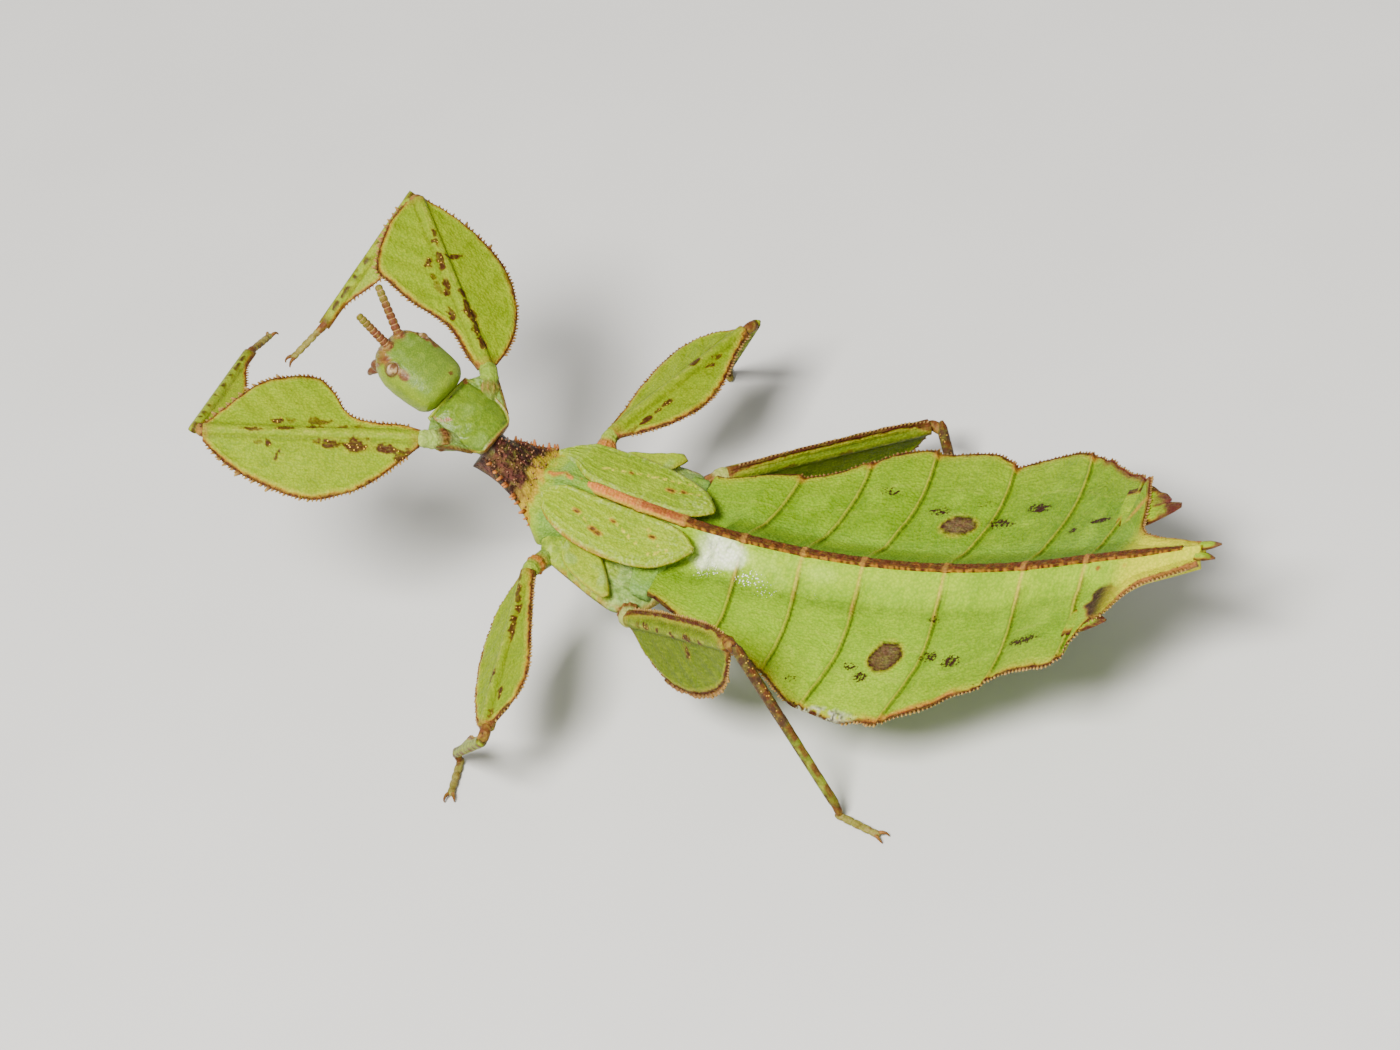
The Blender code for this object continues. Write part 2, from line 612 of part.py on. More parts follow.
def make_prothorax():
    """The shield behind the head, wider in front, with a raised rim."""
    rear, front = PRONOTUM

    def point(t, v, under):
        forward = rear + (front - rear) * t
        half = PRONOTUM_HALF[0] + (PRONOTUM_HALF[1] - PRONOTUM_HALF[0]) * t ** 0.8
        rim = PRONOTUM_RIM if (abs(v) > 0.99 or t in (0.0, 1.0)) else 0.0
        dome = PRONOTUM_DOME * (1.0 - v * v) * math.sin(math.pi * min(1.0, 0.15 + t * 0.8))
        up = PRONOTUM_TOP + dome + rim - 0.25 * abs(v) ** 2
        if under:
            up = PRONOTUM_TOP - PROTHORAX_DEPTH * (1.0 - 0.55 * v * v)
            half *= 0.82
        return turned(forward, half * v, up)

    stations = (0.0, 0.12, 0.35, 0.6, 0.86, 1.0)
    columns = (-1.0, -0.84, -0.4, 0.0, 0.4, 0.84, 1.0)
    return plate(
        "prothorax", stations, columns,
        lambda t, v: point(t, v, False), lambda t, v: point(t, v, True), greens)


def head_shape(unit):
    """The smooth egg of the head: square at the rear, narrower and lower in front."""
    share = min(1.0, max(0.0, unit.x / 0.5 + 1.0))
    power = HEAD_REAR_POWER + (HEAD_FRONT_POWER - HEAD_REAR_POWER) * share
    ring = math.hypot(unit.y, unit.z)
    reach = ring ** power / max(ring, 1e-6) ** HEAD_RING_POWER
    length, width, height = HEAD_RADII
    narrow = 1.0 - 0.16 * max(0.0, unit.x) ** 2
    forward = HEAD_CENTRE[0] + length * math.copysign(abs(unit.x) ** power, unit.x)
    left = width * math.copysign(abs(unit.y) ** HEAD_RING_POWER, unit.y) * reach * narrow
    rise = height * math.copysign(abs(unit.z) ** HEAD_RING_POWER, unit.z) * reach
    return turned(forward, left, HEAD_CENTRE[2] + rise * (1.0 - 0.12 * max(0.0, unit.x)))


def make_head():
    """Head capsule with mouthparts, feeler sockets and eye sockets."""
    body = ball("head", head_shape, 20, 12, head_greens)

    def lump(centre, radii):
        def shape(unit):
            spot = [middle + radius * share for middle, radius, share in zip(centre, radii, unit)]
            return turned(*spot)

        return ball("lump", shape, 8, 6)

    extras = [lump((9.15, 0.0, -0.45), (0.85, 1.15, 0.95))]
    for side in (-1, 1):
        extras.append(lump((9.00, side * 0.62, 1.60), (0.62, 0.38, 0.44)))
        palp = turned(9.0, side * 0.75, -1.0)
        aim = turned(9.5, side * 1.0, -1.9) - palp
        extras.append(spine("palp", palp, aim, 1.25, 0.30, 6))
    fuse(body, extras)
    sockets = []
    for side in (-1, 1):
        centre = turned(EYE_PLACE[0], side * EYE_PLACE[1], EYE_PLACE[2])
        reach = EYE_RADIUS + SOCKET_GAP
        sockets.append(ball("socket", lambda unit, c=centre: c + unit * reach, 12, 8))
    return fuse(body, sockets, "DIFFERENCE")


def make_eyes():
    """Two small bulging eyes in their sockets."""
    for side, name in ((1, "eye_left"), (-1, "eye_right")):
        centre = turned(EYE_PLACE[0], side * EYE_PLACE[1], EYE_PLACE[2])
        ball(name, lambda unit, c=centre: c + unit * EYE_RADIUS, 12, 8, eye_pinks)


def make_antennae():
    """Short ringed feelers that part in front of the head."""
    for side, name in ((1, "antenna_left"), (-1, "antenna_right")):
        base = turned(ANTENNA_BASE[0] + 0.18, side * ANTENNA_BASE[1], ANTENNA_BASE[2])
        reach = ANTENNA_REACH[side]
        tip = turned(
            ANTENNA_BASE[0] + reach[0], side * ANTENNA_BASE[1] + reach[1], ANTENNA_BASE[2] + reach[2])
        along = tip - base
        start = base + along.normalized() * GAP
        points = []
        radii = []
        for ring in range(ANTENNA_RINGS):
            for share, swell in ((0.08, 0.80), (0.55, 1.0), (0.95, 0.95)):
                t = (ring + share) / ANTENNA_RINGS
                points.append(start + (tip - start) * t)
                radii.append(ANTENNA_RADIUS * swell * (1.0 - 0.12 * t))
        tube(name, points, radii, antenna_browns)


def make_wing_pads():
    """Leaf-like fore wing pads on the back, hind wing pads peeping out below."""
    for side, word in ((1, "left"), (-1, "right")):
        stations = [k / 13.0 for k in range(14)]

        def fore_point(t, v, under, side=side):
            x = PAD_START - PAD_LENGTH * t
            inner = smooth_table(PAD_INNER, t)[0]
            outer = smooth_table(PAD_OUTER, t)[0]
            y = inner + (outer - inner) * v
            vein = PAD_VEIN_RISE if v in PAD_VEINS else 0.0
            dome = PAD_DOME * math.sin(math.pi * v)
            fall = y - 0.8
            z = min(back(x), PAD_TOP) - PAD_DROP - 0.13 * fall - 0.007 * fall * fall
            z += dome + vein if not under else -PAD_SOLID
            return Vector((x, side * y, z))

        plate(
            "forewing_pad_" + word, stations, PAD_COLUMNS,
            lambda t, v: fore_point(t, v, False), lambda t, v: fore_point(t, v, True), greens)

        hind_stations = [k / 9.0 for k in range(10)]
        hind_columns = (0.0, 0.35, 0.7, 1.0)

        def hind_point(t, v, under, side=side):
            x = HIND_PAD_START - HIND_PAD_LENGTH * t
            inner = HIND_PAD_INNER + GAP
            y = inner + (smooth_table(HIND_PAD_OUTER, t)[0] - inner) * v
            drop = HIND_PAD_DROP + 0.12 * v + 0.10 * math.sin(t * 5.0)
            z = back(x) - drop - (HIND_PAD_SOLID if under else 0.0)
            return Vector((x, side * y, z))

        plate(
            "hindwing_pad_" + word, hind_stations, hind_columns,
            lambda t, v: hind_point(t, v, False), lambda t, v: hind_point(t, v, True), greens)


def leg_frame(leg):
    """Axis, ahead direction and upward normal of a thigh's blade."""
    axis = (KNEES[leg] - THIGH_ROOTS[leg]).normalized()
    across = BLADE_UP[leg].cross(axis).normalized()
    if leg.startswith("hind"):
        if across.z < 0:
            across = -across
    elif across.x < 0:
        across = -across
    normal = axis.cross(across).normalized()
    if normal.dot(BLADE_UP[leg]) < 0:
        normal = -normal
    return axis, across, normal


def make_thigh(leg):
    """A flat toothed blade on each side of a round midrib."""
    pair = leg.split("_")[0]
    axis, ahead, normal = leg_frame(leg)
    start = THIGH_ROOTS[leg] + axis * THIGH_START[pair]
    end = KNEES[leg] - axis * THIGH_SHORT[pair]
    count = THIGH_STATIONS[pair]
    outline = leg if pair == "mid" else pair
    stations = [k / (count - 1) for k in range(count)]
    columns = (-3, -2, -1, 0, 1, 2, 3)

    def point(t, rank, under):
        table = THIGH_AHEAD[outline] if rank > 0 else THIGH_BEHIND[outline]
        reach = smooth_table(table, t)[0]
        step = abs(rank)
        if step == 3:
            index = round(t * (count - 1))
            if 0 < index < count - 1:
                reach += TOOTH if index % 2 else -TOOTH
        y = (0.0, SHAFT_HALF, SHAFT_HALF + (reach - SHAFT_HALF) * 0.55, reach)[step]
        thick = (0.56, 0.34, 0.29, BLADE_HALF)[step]
        sag = BLADE_SAG * y * y
        sign = 1.0 if rank > 0 else -1.0
        lift = (-thick if under else thick) - sag
        return start + (end - start) * t + ahead * (sign * y) + normal * lift

    return plate(
        "femur_" + leg, stations, columns,
        lambda t, rank: point(t, rank, False), lambda t, rank: point(t, rank, True), greens)


def make_shin(leg):
    """A slender shin; the fore and middle ones carry a small blade."""
    pair = leg.split("_")[0]
    thigh_axis, _, thigh_normal = leg_frame(leg)
    start = KNEES[leg] + thigh_axis * SHIN_BEYOND[pair]
    ankle = ANKLES[leg]
    axis = (ankle - start).normalized()
    end = ankle - axis * 0.10
    side = axis.cross(thigh_normal).normalized()
    back_to_thigh = (THIGH_ROOTS[leg] - KNEES[leg]).normalized()
    if side.dot(back_to_thigh) < 0:
        side = -side
    normal = axis.cross(side).normalized()
    steps = SHIN_STATIONS - 1
    stations = [k / steps for k in range(SHIN_STATIONS)]
    columns = (-2, -1, 0, 1, 2)

    def point(t, rank, under):
        lobe = smooth_table(SHIN_LOBE[pair], t)[0]
        if rank == 2 and pair != "hind" and 0.0 < t < 1.0:
            lobe += SHIN_TOOTH if round(t * steps) % 2 else -SHIN_TOOTH / 2.0
        y = {-2: -0.42, -1: -0.28, 0: 0.0, 1: 0.28, 2: lobe}[rank]
        thick = {-2: 0.14, -1: 0.34, 0: 0.42, 1: 0.34, 2: 0.22}[rank] * (1.0 - 0.15 * t)
        return start + (end - start) * t + side * y + normal * (-thick if under else thick)

    return plate(
        "tibia_" + leg, stations, columns,
        lambda t, rank: point(t, rank, False), lambda t, rank: point(t, rank, True), olives)


def make_foot(leg):
    """Five little joints and two claws; standing feet lie flat on the floor."""
    ankle = ANKLES[leg]
    toe = TOES[leg]
    stands = not leg.startswith("fore")
    floor = -BACK_HEIGHT
    if stands:
        start = Vector((ankle.x, ankle.y, floor + FOOT_HALF))
        end = Vector((toe.x, toe.y, floor + FOOT_HALF))
    else:
        start = ankle + (toe - ankle).normalized() * GAP
        end = toe
    along = end - start
    side = Vector((-along.y, along.x, 0.0)).normalized()
    up = along.normalized().cross(side).normalized()
    if up.z < 0:
        up = -up
    if stands:
        start = start - along.normalized() * 0.35
        along = end - start
    stations = [k / (2.0 * FOOT_JOINTS) for k in range(2 * FOOT_JOINTS + 1)]
    columns = (-2, -1, 1, 2)

    def point(t, rank, under):
        joint = round(t * 2 * FOOT_JOINTS) % 2
        width = (0.25 if joint else 0.34) * (1.0 if abs(rank) == 2 else 0.55)
        height = (0.20 if joint else 0.24) * (0.5 if abs(rank) == 2 else 1.0)
        if under:
            height = -FOOT_HALF
        return start + along * t + side * math.copysign(width, rank) + up * height

    foot = plate(
        "tarsus_" + leg, stations, columns,
        lambda t, rank: point(t, rank, False), lambda t, rank: point(t, rank, True), olives)
    claws = []
    for sign in (-1, 1):
        base = end - along.normalized() * 0.2 + side * (sign * 0.14)
        aim = along.normalized() + side * (sign * 0.55)
        claws.append(spine("claw", base, aim, 0.75, 0.17, 5))
    return fuse(foot, claws)


def make_coxa(leg):
    """The hip: a short thick cone from the trunk to the thigh."""
    start = COXAE[leg]
    end = THIGH_ROOTS[leg]
    span = end - start
    thick = 0.80 if leg.startswith("hind") else 0.70
    points = [start + span * t for t in (0.0, 0.25, 0.55, 0.82, 0.97)]
    return tube("coxa_" + leg, points, [thick * share for share in (0.62, 1.0, 1.0, 0.80, 0.45)], greens)


def make_cerci():
    """Two small pointed leaves at the very tail."""
    for side, word in ((1, "left"), (-1, "right")):
        root = Vector((ABDOMEN_REAR - GAP, side * 0.45, back(ABDOMEN_REAR) - 0.45))
        tip = root + Vector((-0.95, side * 0.20, 0.25))

        def point(t, v, under, root=root, tip=tip):
            width = 0.34 * math.sin(math.pi * (0.25 + 0.65 * t)) + 0.04
            spot = root + (tip - root) * t
            return spot + Vector((0.0, width * v, -0.27 if under else 0.24 - 0.1 * t))

        plate(
            "cercus_" + word, (0.0, 0.33, 0.66, 1.0), (-1.0, 0.0, 1.0),
            lambda t, v: point(t, v, False), lambda t, v: point(t, v, True), greens)


clear_scene()
insect = bpy.data.collections.new("leaf_insect")
bpy.context.scene.collection.children.link(insect)
greens = make_material("leaf green", GREEN, 0.45)
head_greens = make_material("head green", HEAD_GREEN, 0.40)
browns = make_material("collar brown", BROWN, 0.55)
antenna_browns = make_material("feeler brown", ANTENNA_BROWN, 0.50)
olives = make_material("shin olive", SHIN_OLIVE, 0.50)
eye_pinks = make_material("eye pink", EYE_PINK, 0.20)

make_abdomen()
trunk("metathorax", METATHORAX_STATIONS, metathorax_point, greens, len(HIND_Y))
make_mesothorax()
make_prothorax()
make_head()
make_eyes()
make_antennae()
make_wing_pads()
make_cerci()
for leg_name in LEG_NAMES:
    make_coxa(leg_name)
    make_thigh(leg_name)
    make_shin(leg_name)
    make_foot(leg_name)
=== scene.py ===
# %% [markdown]
# # A leaf insect, dressed for its portrait
#
# The real animal is a young leaf insect about as long as a thumb. Its abdomen
# is a flat leaf with a roof-like ridge, its thighs are toothed blades, and the
# colour changes every millimetre: lime, yellow rims, red-brown teeth, specks.
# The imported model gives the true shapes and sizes. Here each plain solid is
# replaced by a fine skin that follows the same measures, and the skin is
# painted by its place on the body. Everything is worked out in millimetres
# along the body, x towards the head and y to the insect's left.

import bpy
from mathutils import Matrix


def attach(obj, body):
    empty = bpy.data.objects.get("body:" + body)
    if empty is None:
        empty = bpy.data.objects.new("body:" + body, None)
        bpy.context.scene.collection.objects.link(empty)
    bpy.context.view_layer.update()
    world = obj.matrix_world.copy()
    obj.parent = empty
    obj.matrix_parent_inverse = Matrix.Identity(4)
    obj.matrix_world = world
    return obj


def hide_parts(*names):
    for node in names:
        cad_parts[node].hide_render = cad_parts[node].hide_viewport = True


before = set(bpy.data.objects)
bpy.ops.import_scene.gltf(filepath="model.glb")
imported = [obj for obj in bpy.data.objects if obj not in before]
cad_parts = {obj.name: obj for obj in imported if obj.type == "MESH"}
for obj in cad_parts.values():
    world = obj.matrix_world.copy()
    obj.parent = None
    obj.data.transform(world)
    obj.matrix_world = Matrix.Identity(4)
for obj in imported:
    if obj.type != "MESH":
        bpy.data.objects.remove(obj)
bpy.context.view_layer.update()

# %% Tools for the whole lesson
import math
import random

import bmesh
import bpy
import numpy as np
from mathutils import Matrix, Vector

MM = 0.001
SEED = 7
SIDES = (("left", 1.0), ("right", -1.0))
print("sides:", SIDES)

# %% [markdown]
# ## The measures
#
# A skin only sits right if it uses the same numbers as the solid below it, so
# the ridge line, the outline tables and the leg points come first. The tables
# are short lists of place and width. `eased` reads such a table along a whole
# array at once with a soft curve between the rows, which keeps the outlines
# free of corners.

# %% Where a body point lies in the model
BACK_HEIGHT = 7.6             # lowest point of the ridge above the floor
BACK_CURVE = 0.0112           # rise of the ridge per square millimetre
TAIL_BEND = -15.0             # behind this the ridge runs straight
TAIL_SLOPE = 0.29
CENTRE = np.array((9.614, -2.77, -BACK_HEIGHT))


def back(x):
    """Height of the ridge line over its lowest point."""
    x = np.asarray(x, dtype=float)
    bend = BACK_CURVE * TAIL_BEND ** 2
    return np.where(x >= TAIL_BEND, BACK_CURVE * x * x, bend + TAIL_SLOPE * (TAIL_BEND - x))


def metres(spots):
    """Body millimetres to the model's metres."""
    return (np.asarray(spots, dtype=float) - CENTRE) * MM


def eased(table, places, column=1):
    """Read one column of a short table along an array, softly between the rows."""
    rows = sorted(table)
    knots = np.array([row[0] for row in rows], dtype=float)
    values = np.array([row[column] for row in rows], dtype=float)
    places = np.clip(np.asarray(places, dtype=float), knots[0], knots[-1])
    k = np.clip(np.searchsorted(knots, places, side="right") - 1, 0, len(knots) - 2)
    before = np.maximum(k - 1, 0)
    after = np.minimum(k + 2, len(knots) - 1)
    span = knots[k + 1] - knots[k]
    s = (places - knots[k]) / span
    rise_a = (values[k + 1] - values[before]) / np.maximum(knots[k + 1] - knots[before], 1e-6) * span
    rise_b = (values[after] - values[k]) / np.maximum(knots[after] - knots[k], 1e-6) * span
    start = (2 * s ** 3 - 3 * s ** 2 + 1) * values[k] + (s ** 3 - 2 * s ** 2 + s) * rise_a
    return start + (-2 * s ** 3 + 3 * s ** 2) * values[k + 1] + (s ** 3 - s ** 2) * rise_b


def points_of(x, y, z):
    """Three arrays as one array of points."""
    return np.column_stack((x, y, z))


NECK = np.array((24.62, 0.0, 6.73))
NECK_TURN = math.radians(12.0)
NECK_PITCH = math.radians(36.0)


def turned(forward, left, up):
    """Points of the head and shield, which share one turned frame."""
    ahead = np.array((math.cos(NECK_TURN), -math.sin(NECK_TURN), 0.0))
    side = np.array((math.sin(NECK_TURN), math.cos(NECK_TURN), 0.0))
    rise = np.array((0.0, 0.0, 1.0))
    axis = ahead * math.cos(NECK_PITCH) + rise * math.sin(NECK_PITCH)
    crown = rise * math.cos(NECK_PITCH) - ahead * math.sin(NECK_PITCH)
    forward, left, up = np.broadcast_arrays(forward, left, up)
    return NECK + forward[..., None] * axis + left[..., None] * side + up[..., None] * crown


print("ridge at the front, middle and tail:", back(12.9), back(0.0), back(-23.7))

# %% [markdown]
# ## Brushes
#
# Each point of a skin carries a painted colour. A brush is a small function
# that gives a mask from 0 to 1 by distance, and `lay` mixes a colour over what
# is already there, like a glaze. `cloud` is soft noise on a grid: it makes the
# edges of the marks ragged, because nothing on an animal has a ruled edge.

# %% Masks and soft noise
def step_up(value, start, end):
    """0 before start and 1 after end, with an ease between."""
    s = np.clip((np.asarray(value, dtype=float) - start) / (end - start), 0.0, 1.0)
    return s * s * (3.0 - 2.0 * s)


def step_down(value, start, end):
    """1 before start and 0 after end, with an ease between."""
    return 1.0 - step_up(value, start, end)


def ridge_of(distance, half):
    """1 on a line, fading like a bell on both sides of it."""
    return np.exp(-(np.asarray(distance) / half) ** 2)


def oval(x, y, spot, size, soft=0.35):
    """1 inside an oval, 0 outside it, with a soft rim."""
    reach = np.hypot((x - spot[0]) / size[0], (y - spot[1]) / size[1])
    return step_down(reach, 1.0 - soft / 2, 1.0 + soft / 2)


NOISE_POINTS = 64             # points along each side of the noise grid, which then repeats


def cloud(x, y, size, seed):
    """Soft noise from -1 to 1, with features of about that many millimetres."""
    chance = np.random.default_rng(seed + SEED)
    lattice = chance.uniform(-1.0, 1.0, (NOISE_POINTS, NOISE_POINTS))
    u = np.asarray(x, dtype=float) / size + 10.0 * NOISE_POINTS
    w = np.asarray(y, dtype=float) / size + 10.0 * NOISE_POINTS
    i, j = np.floor(u).astype(int), np.floor(w).astype(int)
    f, g = u - i, w - j
    f, g = f * f * (3 - 2 * f), g * g * (3 - 2 * g)
    i0, j0, i1, j1 = (place % NOISE_POINTS for place in (i, j, i + 1, j + 1))
    low = lattice[i0, j0] * (1 - f) + lattice[i1, j0] * f
    high = lattice[i0, j1] * (1 - f) + lattice[i1, j1] * f
    return low * (1 - g) + high * g


class Paint:
    """Colour, dark flecks, pale flecks and grain for every point of a skin."""

    def __init__(self, count, colour, dark=0.0, pale=0.0, grain=0.5):
        self.colour = np.tile(np.array(colour, dtype=float), (count, 1))
        self.marks = np.tile(np.array((dark, pale, grain, 0.0)), (count, 1))

    def lay(self, mask, colour):
        """Glaze a colour over the skin."""
        mask = np.clip(mask, 0.0, 1.0)[:, None]
        self.colour += (np.array(colour) - self.colour) * mask

    def fleck(self, mask, dark=None, pale=None, grain=None, glint=None):
        """Raise the share of dark or pale flecks, of white flecks that are painted glints, or the grain,
        under a mask.
        """
        for channel, value in enumerate((dark, pale, grain, glint)):
            if value is not None:
                here = self.marks[:, channel]
                self.marks[:, channel] = here + (value - here) * np.clip(mask, 0.0, 1.0)


# %% The colours of the insect
LIME = (0.215, 0.345, 0.006)
LIME_DEEP = (0.13, 0.235, 0.004)
LIME_BRIGHT = (0.33, 0.5, 0.014)
YELLOW_GREEN = (0.35, 0.42, 0.01)
VEIN_DARK = (0.04, 0.085, 0.003)
OLIVE_LINE = (0.4, 0.34, 0.028)
RIM_ORANGE = (0.42, 0.15, 0.014)
RIM_BROWN = (0.07, 0.013, 0.006)
RED_BROWN = (0.12, 0.024, 0.01)
SALMON = (0.62, 0.165, 0.042)
EYE_SPOT = (0.12, 0.055, 0.034)
SHIELD_GREEN = (0.15, 0.225, 0.012)
CROWN_GREEN = (0.14, 0.21, 0.012)
MEMBRANE = (0.2, 0.33, 0.1)
PURPLE = (0.042, 0.012, 0.014)

# %% [markdown]
# ## Two kinds of skin
#
# Nearly every part of this insect is either a leaf or a limb. A leaf starts as
# one fine grid that is copied and bridged along its rim, so that it is closed.
# A limb starts as one grid that is rolled up and has its seam merged. Both
# keep the unit place of each point, along, across and face, and one function
# then sends all points to their place at once. That is far quicker than
# moving points by hand, and the paint can use the same unit places.

# %% Make the leaf and the limb
def leaf_grid(rows, ranks):
    """A closed slab over the unit square: a grid above, one below, and a rim."""
    bm = bmesh.new()
    bmesh.ops.create_grid(bm, x_segments=rows, y_segments=ranks, size=0.5)
    bmesh.ops.translate(bm, vec=(0.5, 0.5, 0.0), verts=bm.verts)
    lower = bm.faces[:]
    copy = bmesh.ops.duplicate(bm, geom=bm.verts[:] + bm.edges[:] + bm.faces[:])
    upper = [item for item in copy["geom"] if isinstance(item, bmesh.types.BMVert)]
    bmesh.ops.translate(bm, vec=(0.0, 0.0, 1.0), verts=upper)
    bmesh.ops.reverse_faces(bm, faces=lower)
    bmesh.ops.bridge_loops(bm, edges=[edge for edge in bm.edges if edge.is_boundary])
    return bm


def limb_grid(rows, sides):
    """A grid that a limb's shape function rolls up."""
    bm = bmesh.new()
    bmesh.ops.create_grid(bm, x_segments=rows, y_segments=sides, size=0.5)
    bmesh.ops.translate(bm, vec=(0.5, 0.5, 1.0), verts=bm.verts)
    return bm


def settle(name, bm, shape, paint, material, nodes=()):
    """Send every unit point to its place, paint it and hang it on the frame."""
    mesh = bpy.data.meshes.new(name)
    bm.to_mesh(mesh)
    bm.free()
    count = len(mesh.vertices)
    unit = np.empty(count * 3, dtype=np.float32)
    mesh.vertices.foreach_get("co", unit)
    t, v, face = unit.reshape(-1, 3).astype(float).T
    spots, facts = shape(t, v, face)
    mesh.vertices.foreach_set("co", metres(spots).ravel())
    coat = paint(spots, facts, t, v, face)
    alpha = np.ones((count, 1))
    colours = mesh.color_attributes.new("paint", "FLOAT_COLOR", "POINT")
    colours.data.foreach_set("color", np.hstack((np.clip(coat.colour, 0, 1), alpha)).ravel())
    marks = mesh.color_attributes.new("marks", "FLOAT_COLOR", "POINT")
    marks.data.foreach_set("color", np.clip(coat.marks, 0, 1).ravel())
    way = mesh.attributes.new("way", "FLOAT_VECTOR", "POINT")
    way.data.foreach_set("vector", facts["way"].ravel())
    bm = bmesh.new()
    bm.from_mesh(mesh)
    bmesh.ops.remove_doubles(bm, verts=bm.verts, dist=2e-6)
    bmesh.ops.recalc_face_normals(bm, faces=bm.faces)
    bm.to_mesh(mesh)
    bm.free()
    return hang(name, mesh, material, nodes)


def hang(name, mesh, material, nodes=()):
    """Smooth a finished mesh, give it its finish and let it ride on the body."""
    mesh.polygons.foreach_set("use_smooth", [True] * len(mesh.polygons))
    mesh.materials.append(material)
    piece = bpy.data.objects.new(name, mesh)
    bpy.context.scene.collection.objects.link(piece)
    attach(piece, "root")
    if nodes:
        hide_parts(*nodes)
    return piece
